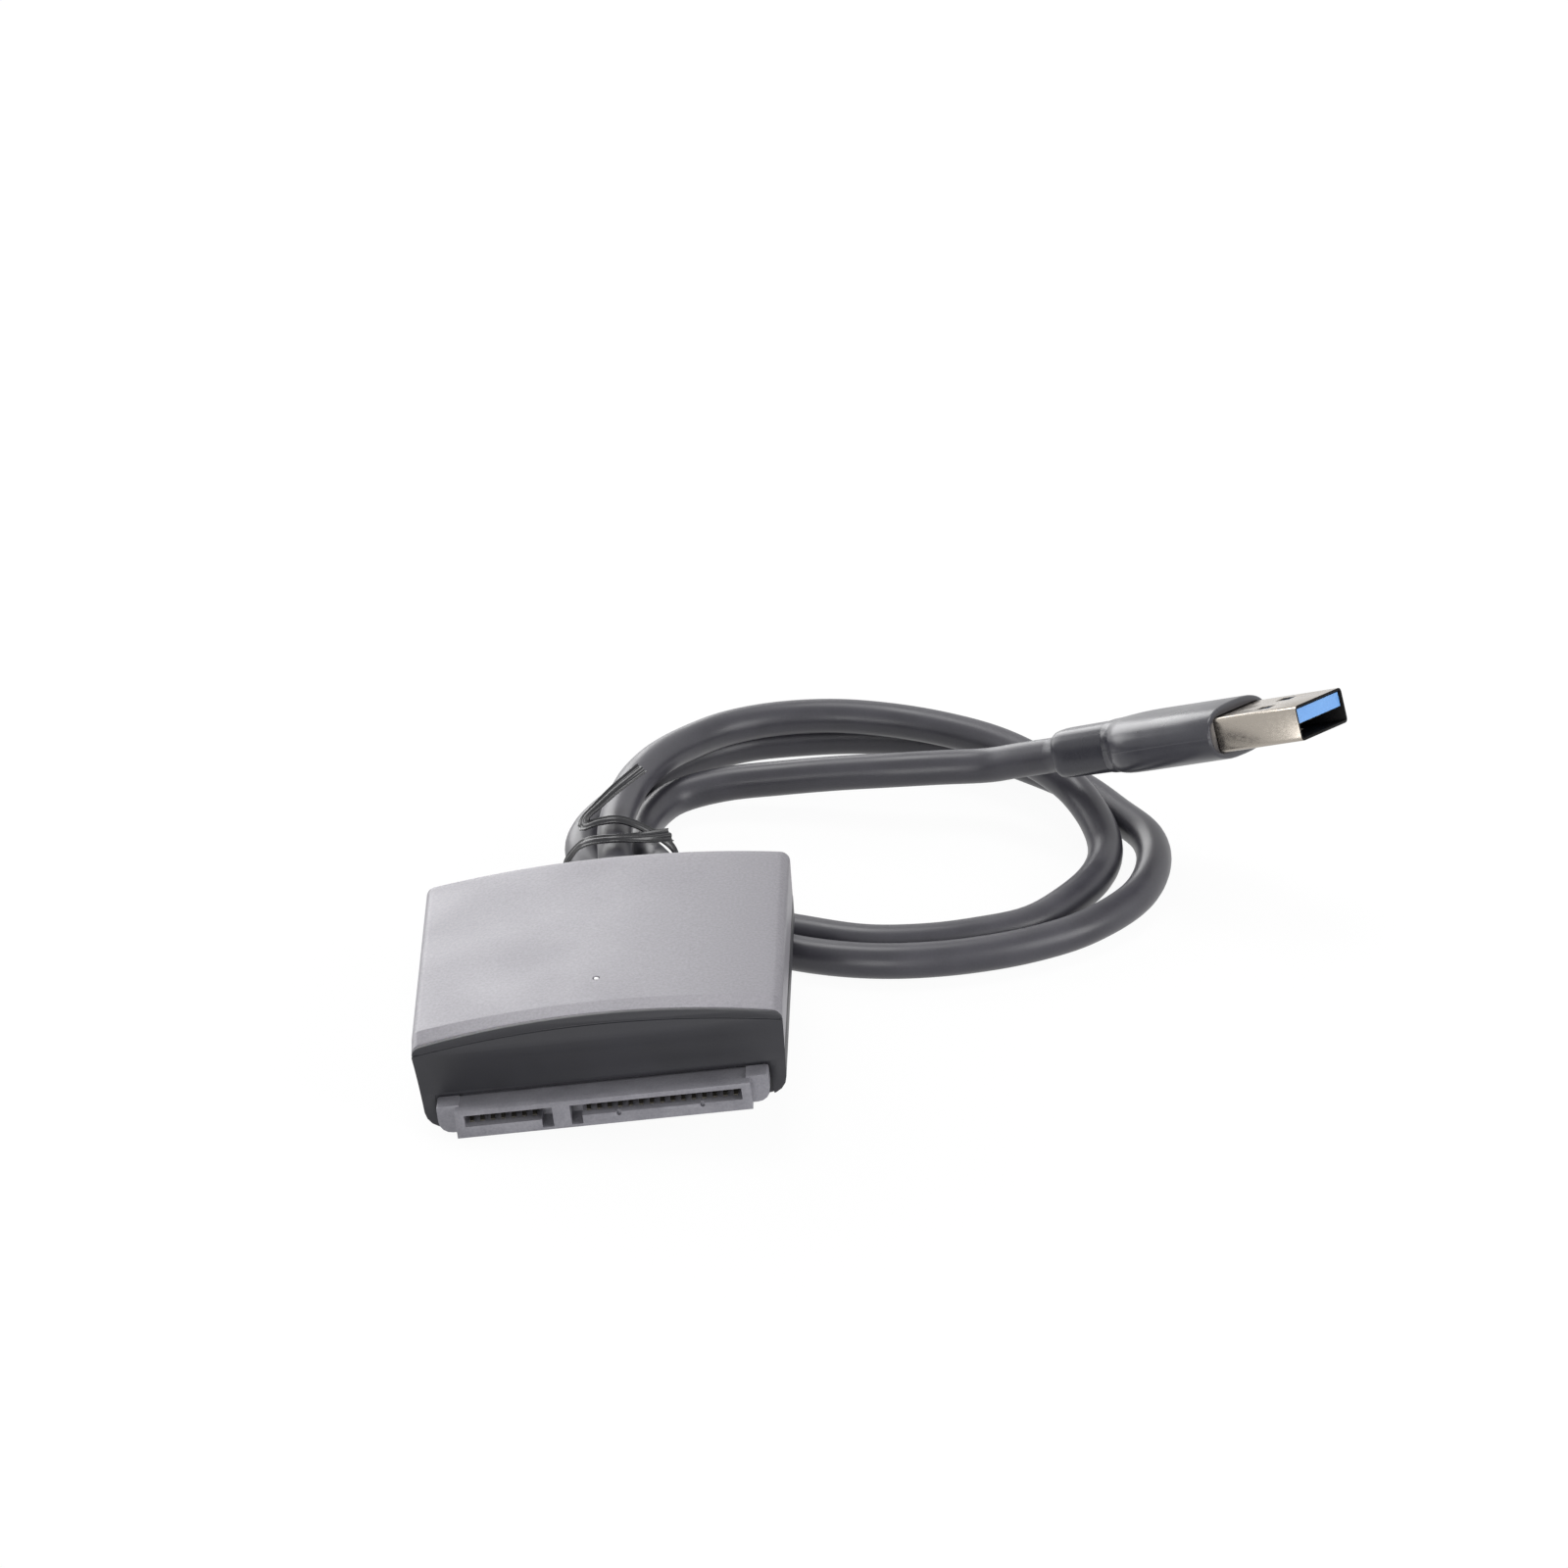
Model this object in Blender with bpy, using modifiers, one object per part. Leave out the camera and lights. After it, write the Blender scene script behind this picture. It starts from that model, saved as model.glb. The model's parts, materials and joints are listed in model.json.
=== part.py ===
# USB to SATA adapter: a domed two-part housing with a 22-pin receptacle,
# on a short round cable that is coiled twice, tied, and ends in a USB plug.
import bpy
import bmesh
import math
import numpy as np
from mathutils import Matrix, Vector

# Housing, in its own frame: x to the right, y from the front edge back, z up from the foot
CASE_WIDTH = 0.0450
CASE_REAR_WIDTH = 0.0456
CASE_FOOT_WIDTH = 0.0436
CASE_LENGTH = 0.0398
CASE_EDGE_HEIGHT = 0.0117
CASE_DOME = 0.0018
CASE_SHOULDER_RADIUS = 0.0013
CASE_FOOT_RADIUS = 0.0024
CHAMFER_LENGTH = 0.0025
CHAMFER_EDGE_DROP = 0.0008
CHAMFER_CROWN_DROP = 0.0003
REAR_EDGE_ROUND = 0.0006
CASE_ROLL = math.radians(7.2)      # lifted on its right side by the coil under the rear corner

COVER_WALL = 0.0005
COVER_SKIRT_HEIGHT = 0.0056
LID_SIDE_WALL = 0.0005
LID_CROWN_WALL = 0.0014
CASE_WALL = 0.0012
CASE_FLOOR = 0.0011
FRONT_WALL = 0.0020
REAR_WALL = 0.0016
FIT = 0.00025                      # clearance between moulded pieces
SOLDER_GAP = 0.0001
PIN_CLEARANCE = 0.0002

LIP_FRONT = 0.0004                 # dark rim in front of the cover's end
LIP_BACK = 0.0001
PARTING_EDGE_HEIGHT = 0.0100
PARTING_DOME = 0.00195
PARTING_GAP = 0.0002
BEZEL_HOLLOW_DEPTH = 0.00035
BEZEL_HOLLOW_HEIGHT = 0.0076
BEZEL_HOLLOW_CENTRE = 0.0060
LID_POST_RADIUS = 0.0011
LID_POST_INSET = 0.0040

# Receptacle
SATA_X = -0.0001
SATA_SLOT_HEIGHT = 0.0015
SATA_SLOT_Z = 0.0025
SATA_SLOT_DEPTH = 0.0052
SATA_PITCH = 0.00127
SIGNAL_SLOT_WIDTH = 0.01065
SLOT_DIVIDER = 0.00213
POWER_SLOT_WIDTH = 0.02075
SIGNAL_PINS = 7
POWER_PINS = 15
KEY_WIDTH = 0.00140
KEY_FLOOR = 0.00035
SATA_TOP_WALL = 0.00065
SATA_LIP = 0.00145
SATA_END_WALL = 0.00110
SATA_REACH = 0.0041                # from the bezel plane to the mating face
SATA_TAIL = 0.0048
SATA_NECK_TOP_WALL = 0.0005
GUIDE_WIDTH = 0.0022
GUIDE_SETBACK = 0.0013
GUIDE_RADIUS = 0.0016
GUIDE_RISE = 0.0002
CONTACT_WIDTH = 0.0005
CONTACT_THICKNESS = 0.0002
CONTACT_BUMP = 0.00035
CONTACT_TAIL = 0.0024
LIP_NOTCH_RADIUS = 0.0003
LIP_NOTCH_DEPTH = 0.0006
LIP_NOTCH_DROP = 0.0002
LIP_NOTCHES = (0.0018, 0.0119)

# Electronics
BOARD_THICKNESS = 0.0010
BOARD_SIDE_ROOM = 0.0033
BOARD_REAR_ROOM = 0.00775
CHIP_X = 0.0035
CHIP_SIZE = 0.0070
CHIP_HEIGHT = 0.0009
CRYSTAL_PLACE = (-0.0045, 0.0020)  # places on the board are from its middle
CRYSTAL_LENGTH = 0.0032
CRYSTAL_WIDTH = 0.0025
CRYSTAL_HEIGHT = 0.0008
INDUCTOR_PLACE = (0.0125, 0.0015)
INDUCTOR_SIZE = 0.0040
INDUCTOR_HEIGHT = 0.0020
REGULATOR_PLACE = (0.0125, -0.0035)
REGULATOR_LENGTH = 0.0029
REGULATOR_WIDTH = 0.0016
REGULATOR_HEIGHT = 0.0011
CAPACITOR_PLACES = ((-0.0095, 0.0), (-0.0095, 0.0025), (-0.0095, 0.0050), (0.0085, -0.0040))
CAPACITOR_LENGTH = 0.0020
CAPACITOR_WIDTH = 0.00125
CAPACITOR_HEIGHT = 0.0010
LED_X = 0.0001
LED_Y = 0.0083
LED_SIZE = 0.0012
LED_HEIGHT = 0.0006
LIGHT_PIPE_RADIUS = 0.00050

# Cable
CORD_DIAMETER = 0.0045
CORD_POINT_SPACING = 0.0074
GLAND_Z = 0.0062
GLAND_BODY_RADIUS = 0.0028
GLAND_FLANGE_RADIUS = 0.0036
GLAND_FLANGE_THICKNESS = 0.0010
GLAND_NOSE_LENGTH = 0.0024
GLAND_TIP_RADIUS = 0.0025
CORE_WIRE_RADIUS = 0.00045
TIE_WIDTH = 0.0019
TIE_THICKNESS = 0.0005

# Plug, in its own frame: x toward the tip, y across, z up from the axis
PLUG_YAW = math.radians(-27.4)
PLUG_PITCH = math.radians(21.7)
PLUG_ROLL = math.radians(-11.5)
BOOT_LENGTH = 0.0092
BOOT_WIDTH = 0.0066
BOOT_HEIGHT = 0.0064
GRIP_LENGTH = 0.0184
GRIP_WIDTH = 0.0155
GRIP_HEIGHT = 0.0071
GRIP_SHOULDER = 0.0022
SHELL_WIDTH = 0.0120
SHELL_HEIGHT = 0.0045
SHELL_EXPOSED = 0.0120
SHELL_BURIED = 0.0060
SHELL_WALL = 0.0003
SHELL_CORNER = 0.0006
LATCH_WINDOW = 0.0021
LATCH_SPACING = 0.0053
LATCH_FROM_TIP = 0.0062
TONGUE_THICKNESS = 0.0018
TONGUE_RECESS = 0.0003
TONGUE_BASE = 0.0040
USB_PIN_THICKNESS = 0.00015
USB_PAD_PITCHES = (-0.0035, -0.0010, 0.0010, 0.0035)
USB_PAD_WIDTH = 0.0010
USB_PAD_LENGTH = 0.0060
SPEED_PITCHES = (-0.0040, -0.0020, 0.0, 0.0020, 0.0040)
SPEED_PIN_WIDTH = 0.0007
SPEED_PIN_LENGTH = 0.0022

# Route of the cable's centre in millimetres, from the gland to the boot
CORD_ROUTE = [
    (0.4, 23.8, 8.65), (0.3, 29.4, 8.85), (0.0, 35.4, 9.0), (-0.2, 41.8, 9.1),
    (0.5, 48.7, 8.8), (1.9, 55.9, 8.4), (4.5, 62.9, 7.8), (8.1, 68.9, 7.1),
    (13.1, 73.9, 6.8), (19.5, 76.9, 6.7), (27.0, 78.1, 6.6), (34.5, 77.4, 6.4),
    (41.7, 75.0, 6.3), (48.2, 71.1, 6.3), (53.6, 65.9, 6.1), (57.9, 60.6, 5.3),
    (60.9, 54.8, 3.7), (62.0, 48.9, 2.5), (60.8, 42.1, 2.4), (57.3, 35.3, 2.4),
    (52.2, 29.1, 2.4), (45.7, 26.0, 2.4), (38.8, 24.15, 2.4), (31.2, 23.9, 2.4),
    (23.0, 26.3, 2.4), (16.7, 28.6, 2.4), (11.1, 30.6, 2.4), (5.7, 32.4, 2.5),
    (0.7, 35.2, 2.9), (-3.0, 39.6, 3.4), (-4.6, 45.5, 3.5), (-4.0, 51.1, 3.4),
    (-1.9, 56.7, 3.2), (1.4, 62.6, 3.0), (5.4, 69.1, 2.8), (10.3, 74.5, 2.5),
    (15.8, 77.9, 2.4), (22.7, 79.6, 2.4), (30.1, 80.4, 2.4), (38.1, 79.8, 2.4),
    (45.6, 77.3, 2.4), (52.5, 72.4, 2.4), (58.8, 66.5, 2.4), (63.6, 59.2, 2.4),
    (67.4, 52.5, 2.4), (68.0, 44.7, 2.4), (65.5, 36.1, 2.4), (59.5, 28.4, 2.4),
    (52.5, 23.6, 2.4), (44.7, 20.5, 2.4), (36.7, 19.0, 2.4), (29.5, 19.2, 2.4),
    (22.5, 21.0, 2.4), (17.7, 22.9, 3.0), (13.5, 25.2, 4.7), (9.6, 28.2, 6.7),
    (6.6, 31.9, 7.4), (4.8, 36.4, 6.8), (3.6, 41.3, 5.3), (3.0, 46.4, 3.5),
    (2.6, 52.0, 2.5), (3.9, 57.6, 2.4), (7.0, 62.3, 2.7), (13.0, 64.2, 3.6),
    (20.2, 64.3, 4.5), (27.3, 63.8, 5.5), (34.5, 63.1, 6.4), (40.8, 63.0, 6.9),
    (47.0, 62.2, 7.7), (51.1, 60.2, 9.5), (55.2, 58.1, 11.3),
]

# Route of the twist tie's middle in millimetres, free end to free end
TIE_ROUTE = [
    (6.9, 36.5, 10.6), (3.5, 33.9, 11.5), (-0.2, 32.6, 12.0), (-3.5, 33.7, 10.9),
    (-5.2, 35.5, 8.6), (-6.5, 36.8, 5.4), (-6.0, 38.0, 1.6), (-2.6, 38.6, 0.45),
    (1.6, 38.6, 0.9), (5.7, 38.6, 2.3), (7.7, 38.4, 5.0), (7.0, 38.2, 8.0),
    (3.8, 37.9, 10.6), (0.6, 37.5, 12.1), (-2.0, 37.4, 11.9), (-3.8, 38.0, 11.0),
    (-3.8, 39.3, 11.5), (-2.3, 40.7, 12.5), (0.0, 42.8, 13.9), (3.1, 45.5, 15.4),
]

for leftover in list(bpy.data.objects):
    bpy.data.objects.remove(leftover, do_unlink=True)

partCollection = bpy.data.collections.new("usb_to_sata_adapter")
cutterCollection = bpy.data.collections.new("cutters")
bpy.context.scene.collection.children.link(partCollection)
bpy.context.scene.collection.children.link(cutterCollection)


def makeMaterial(name, colour, roughness, metallic=0.0):
    material = bpy.data.materials.new(name)
    material.use_nodes = True
    shader = material.node_tree.nodes["Principled BSDF"]
    shader.inputs["Base Color"].default_value = (*colour, 1.0)
    shader.inputs["Roughness"].default_value = roughness
    shader.inputs["Metallic"].default_value = metallic
    material.diffuse_color = (*colour, 1.0)
    return material


def addPiece(name, mesh, material, frame):
    """A visible piece of the adapter, named for its node."""
    piece = bpy.data.objects.new(name, mesh)
    partCollection.objects.link(piece)
    piece.parent = frame
    if material:
        mesh.materials.append(material)
    return piece


def addCutter(name, mesh, frame):
    cutter = bpy.data.objects.new(name, mesh)
    cutterCollection.objects.link(cutter)
    cutter.parent = frame
    cutter.hide_render = True
    cutter.display_type = "WIRE"
    return cutter


def combine(piece, other, operation):
    change = piece.modifiers.new(other.name, "BOOLEAN")
    change.operation = operation
    change.solver = "EXACT"
    change.object = other


def meshFrom(name, build):
    """Run a bmesh recipe and keep its result with outward faces."""
    shape = bmesh.new()
    build(shape)
    bmesh.ops.recalc_face_normals(shape, faces=shape.faces)
    mesh = bpy.data.meshes.new(name)
    shape.to_mesh(mesh)
    shape.free()
    return mesh


def loftMesh(name, rings):
    """Skin a list of rings that have the same number of points."""
    def build(shape):
        rows = [[shape.verts.new(point) for point in ring] for ring in rings]
        count = len(rows[0])
        for row, following in zip(rows, rows[1:]):
            for i in range(count):
                j = (i + 1) % count
                shape.faces.new((row[i], row[j], following[j], following[i]))
        shape.faces.new(rows[0])
        shape.faces.new(rows[-1])
    return meshFrom(name, build)


def boxMesh(name, low, high):
    def build(shape):
        bmesh.ops.create_cube(shape, size=1.0)
        size = Vector(high) - Vector(low)
        middle = (Vector(high) + Vector(low)) / 2
        bmesh.ops.scale(shape, vec=size, verts=shape.verts)
        bmesh.ops.translate(shape, vec=middle, verts=shape.verts)
    return meshFrom(name, build)


def rodMesh(name, radius, start, end, sides=24):
    """A straight round rod between two points."""
    def build(shape):
        axis = Vector(end) - Vector(start)
        turn = axis.to_track_quat("Z", "Y").to_matrix().to_4x4()
        place = Matrix.Translation((Vector(start) + Vector(end)) / 2) @ turn
        bmesh.ops.create_cone(shape, cap_ends=True, segments=sides, radius1=radius,
                              radius2=radius, depth=axis.length, matrix=place)
    return meshFrom(name, build)


def roundCorners(corners, radii, steps=4):
    """Replace each corner that has a radius with an arc."""
    outline = []
    count = len(corners)
    for i, radius in enumerate(radii):
        corner = Vector(corners[i])
        if radius == 0:
            outline.append(corner)
            continue
        before = (Vector(corners[i - 1]) - corner).normalized()
        after = (Vector(corners[(i + 1) % count]) - corner).normalized()
        halfAngle = before.angle(after) / 2
        reach = radius / math.tan(halfAngle)
        centre = corner + (before + after).normalized() * radius / math.sin(halfAngle)
        first = corner + before * reach - centre
        last = corner + after * reach - centre
        sweep = first.angle_signed(last)
        for k in range(steps + 1):
            outline.append(centre + Matrix.Rotation(-sweep * k / steps, 2) @ first)
    return outline


def extrudeMesh(name, outline, depth, place):
    """Extrude a flat outline by depth, then put it where place says."""
    def build(shape):
        face = shape.faces.new([shape.verts.new((p[0], p[1], 0.0)) for p in outline])
        grown = bmesh.ops.extrude_face_region(shape, geom=[face])
        moved = [v for v in grown["geom"] if isinstance(v, bmesh.types.BMVert)]
        bmesh.ops.translate(shape, vec=(0.0, 0.0, depth), verts=moved)
        bmesh.ops.transform(shape, matrix=place, verts=shape.verts)
    return meshFrom(name, build)


def sideProfilePlace(x):
    """Place that stands an outline of (y, z) points up at a given x."""
    axes = Matrix(((0, 0, 1, 0), (1, 0, 0, 0), (0, 1, 0, 0), (0, 0, 0, 1)))
    return Matrix.Translation((x, 0.0, 0.0)) @ axes


def frontProfilePlace(y):
    """Place that stands an outline of (x, z) points up at a given y, to be extruded frontward."""
    return Matrix.Translation((0.0, y, 0.0)) @ Matrix.Rotation(math.pi / 2, 4, "X")


def archHeight(x, half, dome):
    """Height of a shallow arch above its ends at -half and half."""
    bend = (half ** 2 + dome ** 2) / (2 * dome)
    return math.sqrt(bend ** 2 - x ** 2) - bend + dome


def caseSize(y):
    """Half widths of top and foot, edge height and dome of the housing at a given y."""
    ramp = min(max(1 - y / CHAMFER_LENGTH, 0.0), 1.0)
    spread = 1 + (CASE_REAR_WIDTH / CASE_WIDTH - 1) * max(y, 0.0) / CASE_LENGTH
    edgeDrop = CHAMFER_EDGE_DROP * ramp
    return (CASE_WIDTH / 2 * spread, CASE_FOOT_WIDTH / 2 * spread, CASE_EDGE_HEIGHT - edgeDrop,
            CASE_DOME + edgeDrop - CHAMFER_CROWN_DROP * ramp)


def domeHeight(x, y):
    """Height of the cover's outer surface."""
    halfTop, _, edge, dome = caseSize(y)
    return edge + archHeight(x, halfTop, dome)


def caseSection(inset, y, domeLoss=0.0, floor=None, lift=0.0, domeSteps=20):
    """Outline of the housing across x and z at a given y, drawn in by inset on every side."""
    halfTop, halfFoot, edge, dome = caseSize(y)
    halfTop -= inset
    halfFoot -= inset
    bottom = inset if floor is None else floor
    corners = [(-halfFoot, bottom), (halfFoot, bottom)]
    radii = [max(CASE_FOOT_RADIUS - inset, 0.0004)] * 2
    for k in range(domeSteps + 1):
        x = halfTop * (1 - 2 * k / domeSteps)
        corners.append((x, edge - inset + lift + archHeight(x, halfTop, dome - domeLoss)))
        radii.append(max(CASE_SHOULDER_RADIUS - inset, 0.0001) if k in (0, domeSteps) else 0)
    return roundCorners(corners, radii)


def caseLoft(name, inset, front, rear, domeLoss=0.0, rearRound=0.0, floor=None, lift=0.0):
    """Solid with the housing's section, from y = front to y = rear."""
    places = [front] + [y for y in (0.0, CHAMFER_LENGTH) if y > front] + [rear - rearRound]
    sections = [(y, caseSection(inset, y, domeLoss, floor, lift)) for y in places]
    if rearRound:
        sections.append((rear, caseSection(inset + rearRound, rear, domeLoss)))
    return loftMesh(name, [[(p[0], y, p[1]) for p in section] for y, section in sections])


def partingHeight(x):
    """Height of the seam between the lid and the case across the bezel."""
    return PARTING_EDGE_HEIGHT + archHeight(x, CASE_WIDTH / 2, PARTING_DOME)


def lidLipOutline(inset, margin, seamSteps=24):
    """The housing's front outline above the parting seam."""
    section = caseSection(inset, 0.0)
    rise = [p[1] - partingHeight(p[0]) - margin for p in section]
    outline = []
    for i, point in enumerate(section):
        if rise[i] > 0:
            outline.append(point)
        j = (i + 1) % len(section)
        if (rise[i] > 0) == (rise[j] > 0):
            continue
        crossing = Vector(point).lerp(Vector(section[j]), rise[i] / (rise[i] - rise[j]))
        outline.append(crossing)
        if rise[i] > 0:
            for k in range(1, seamSteps):
                x = crossing[0] * (1 - 2 * k / seamSteps)
                outline.append((x, partingHeight(x) + margin))
    return outline


def houseBounds():
    """World extent in x and lowest point of the tilted housing's widest section."""
    turned = [(p[0] * math.cos(CASE_ROLL) - p[1] * math.sin(CASE_ROLL),
               p[0] * math.sin(CASE_ROLL) + p[1] * math.cos(CASE_ROLL))
              for p in caseSection(0.0, CASE_LENGTH)]
    across = [p[0] for p in turned]
    return min(across), max(across), min(p[1] for p in turned)


silver = makeMaterial("anodised_cover", (0.50, 0.50, 0.52), 0.42, 0.6)
darkPlastic = makeMaterial("dark_case_plastic", (0.035, 0.036, 0.040), 0.45)
greyPlastic = makeMaterial("receptacle_plastic", (0.17, 0.17, 0.19), 0.45)
gold = makeMaterial("gold_contact", (0.80, 0.58, 0.25), 0.30, 1.0)
boardGreen = makeMaterial("board_laminate", (0.02, 0.12, 0.06), 0.50)
chipBlack = makeMaterial("chip_epoxy", (0.02, 0.02, 0.022), 0.50)
tinned = makeMaterial("tinned_metal", (0.62, 0.62, 0.62), 0.35, 1.0)
ferrite = makeMaterial("ferrite", (0.06, 0.06, 0.065), 0.60)
ceramicTan = makeMaterial("capacitor_ceramic", (0.40, 0.28, 0.17), 0.55)
clearPlastic = makeMaterial("light_pipe_plastic", (0.85, 0.87, 0.90), 0.20)
cableRubber = makeMaterial("cable_jacket", (0.045, 0.044, 0.050), 0.50)
tiePlastic = makeMaterial("tie_plastic", (0.030, 0.030, 0.034), 0.40)
gripPlastic = makeMaterial("grip_plastic", (0.050, 0.050, 0.056), 0.45)
steel = makeMaterial("plated_steel", (0.60, 0.59, 0.57), 0.28, 1.0)
blue = makeMaterial("blue_insulator", (0.10, 0.30, 0.75), 0.45)

house = bpy.data.objects.new("house_frame", None)
partCollection.objects.link(house)
leftmost, rightmost, lowest = houseBounds()
frontmost = -SATA_REACH
rearmost = CASE_LENGTH + FIT + GLAND_NOSE_LENGTH
house.location = (-(leftmost + rightmost) / 2, -(frontmost + rearmost) / 2, -lowest)
house.rotation_euler = (0.0, -CASE_ROLL, 0.0)

lidInset = COVER_WALL + FIT
caseInset = lidInset + LID_SIDE_WALL + FIT
lidDomeLoss = LID_CROWN_WALL - LID_SIDE_WALL
slotFloor = SATA_SLOT_Z - SATA_SLOT_HEIGHT / 2
slotTop = SATA_SLOT_Z + SATA_SLOT_HEIGHT / 2
shroudBottom = slotFloor - SATA_LIP
shroudTop = slotTop + SATA_TOP_WALL
slotSpan = SIGNAL_SLOT_WIDTH + SLOT_DIVIDER + POWER_SLOT_WIDTH
shroudHalf = slotSpan / 2 + SATA_END_WALL
neckHalf = shroudHalf - 0.0005
neckTop = slotTop + SATA_NECK_TOP_WALL
boardBottom = CASE_FLOOR + FIT
boardTop = boardBottom + BOARD_THICKNESS
boardFront = SATA_TAIL + FIT
boardWidth = CASE_FOOT_WIDTH - 2 * BOARD_SIDE_ROOM
boardLength = CASE_LENGTH - BOARD_REAR_ROOM - boardFront
ledTop = boardTop + SOLDER_GAP + LED_HEIGHT


def makeTopCover():
    cover = addPiece("top_cover", caseLoft("top_cover", 0.0, LIP_BACK + FIT, CASE_LENGTH,
                                           rearRound=REAR_EDGE_ROUND), silver, house)
    hollow = addCutter("cover_hollow", caseLoft("cover_hollow", COVER_WALL, -0.001,
                                                CASE_LENGTH + 0.001), house)
    below = addCutter("below_skirt", boxMesh("below_skirt", (-CASE_WIDTH, -0.002, -0.002),
                      (CASE_WIDTH, CASE_LENGTH + 0.002, COVER_SKIRT_HEIGHT)), house)
    pipeTop = domeHeight(LED_X, LED_Y) + 0.001
    hole = addCutter("cover_light_hole", rodMesh("cover_light_hole", LIGHT_PIPE_RADIUS + PIN_CLEARANCE,
                     (LED_X, LED_Y, ledTop), (LED_X, LED_Y, pipeTop)), house)
    for cutter in (hollow, below, hole):
        combine(cover, cutter, "DIFFERENCE")


def makeCaseLid():
    """Dark inner lid that carries the cover; its lip shows under the silver edge at the front."""
    lid = addPiece("case_lid", caseLoft("case_lid", lidInset, LIP_BACK + FIT,
                   CASE_LENGTH - REAR_EDGE_ROUND), darkPlastic, house)
    under = addCutter("lid_hollow", caseLoft("lid_hollow", lidInset + LID_SIDE_WALL, -0.001,
                      CASE_LENGTH + 0.001, lidDomeLoss), house)
    below = addCutter("below_lid", boxMesh("below_lid", (-CASE_WIDTH, -0.002, -0.002),
                      (CASE_WIDTH, CASE_LENGTH + 0.002, COVER_SKIRT_HEIGHT + FIT)), house)
    combine(lid, under, "DIFFERENCE")
    combine(lid, below, "DIFFERENCE")
    postX = boardWidth / 2 - LID_POST_INSET
    for side in (-1, 1):
        for end, y in (("front", boardFront + LID_POST_INSET),
                       ("rear", boardFront + boardLength - LID_POST_INSET)):
            top = domeHeight(postX, CASE_LENGTH / 2) - lidInset - LID_SIDE_WALL / 2
            foot = boardTop + FIT
            hand = "right" if side > 0 else "left"
            post = addCutter(f"lid_post_{end}_{hand}", rodMesh(f"lid_post_{end}_{hand}",
                             LID_POST_RADIUS, (side * postX, y, foot), (side * postX, y, top), 12), house)
            combine(lid, post, "UNION")
    lip = addCutter("lid_lip", extrudeMesh("lid_lip", lidLipOutline(0.0, PARTING_GAP / 2),
                    LIP_FRONT + LIP_BACK, frontProfilePlace(LIP_BACK)), house)
    webBack = LIP_BACK + 2 * FIT
    web = addCutter("lid_lip_web", extrudeMesh("lid_lip_web", lidLipOutline(lidInset, PARTING_GAP),
                    webBack, frontProfilePlace(webBack)), house)
    combine(lid, web, "UNION")
    combine(lid, lip, "UNION")
    hole = addCutter("lid_light_hole", rodMesh("lid_light_hole", LIGHT_PIPE_RADIUS + PIN_CLEARANCE,
                     (LED_X, LED_Y, ledTop), (LED_X, LED_Y, domeHeight(LED_X, LED_Y) + 0.001)), house)
    combine(lid, hole, "DIFFERENCE")


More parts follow.
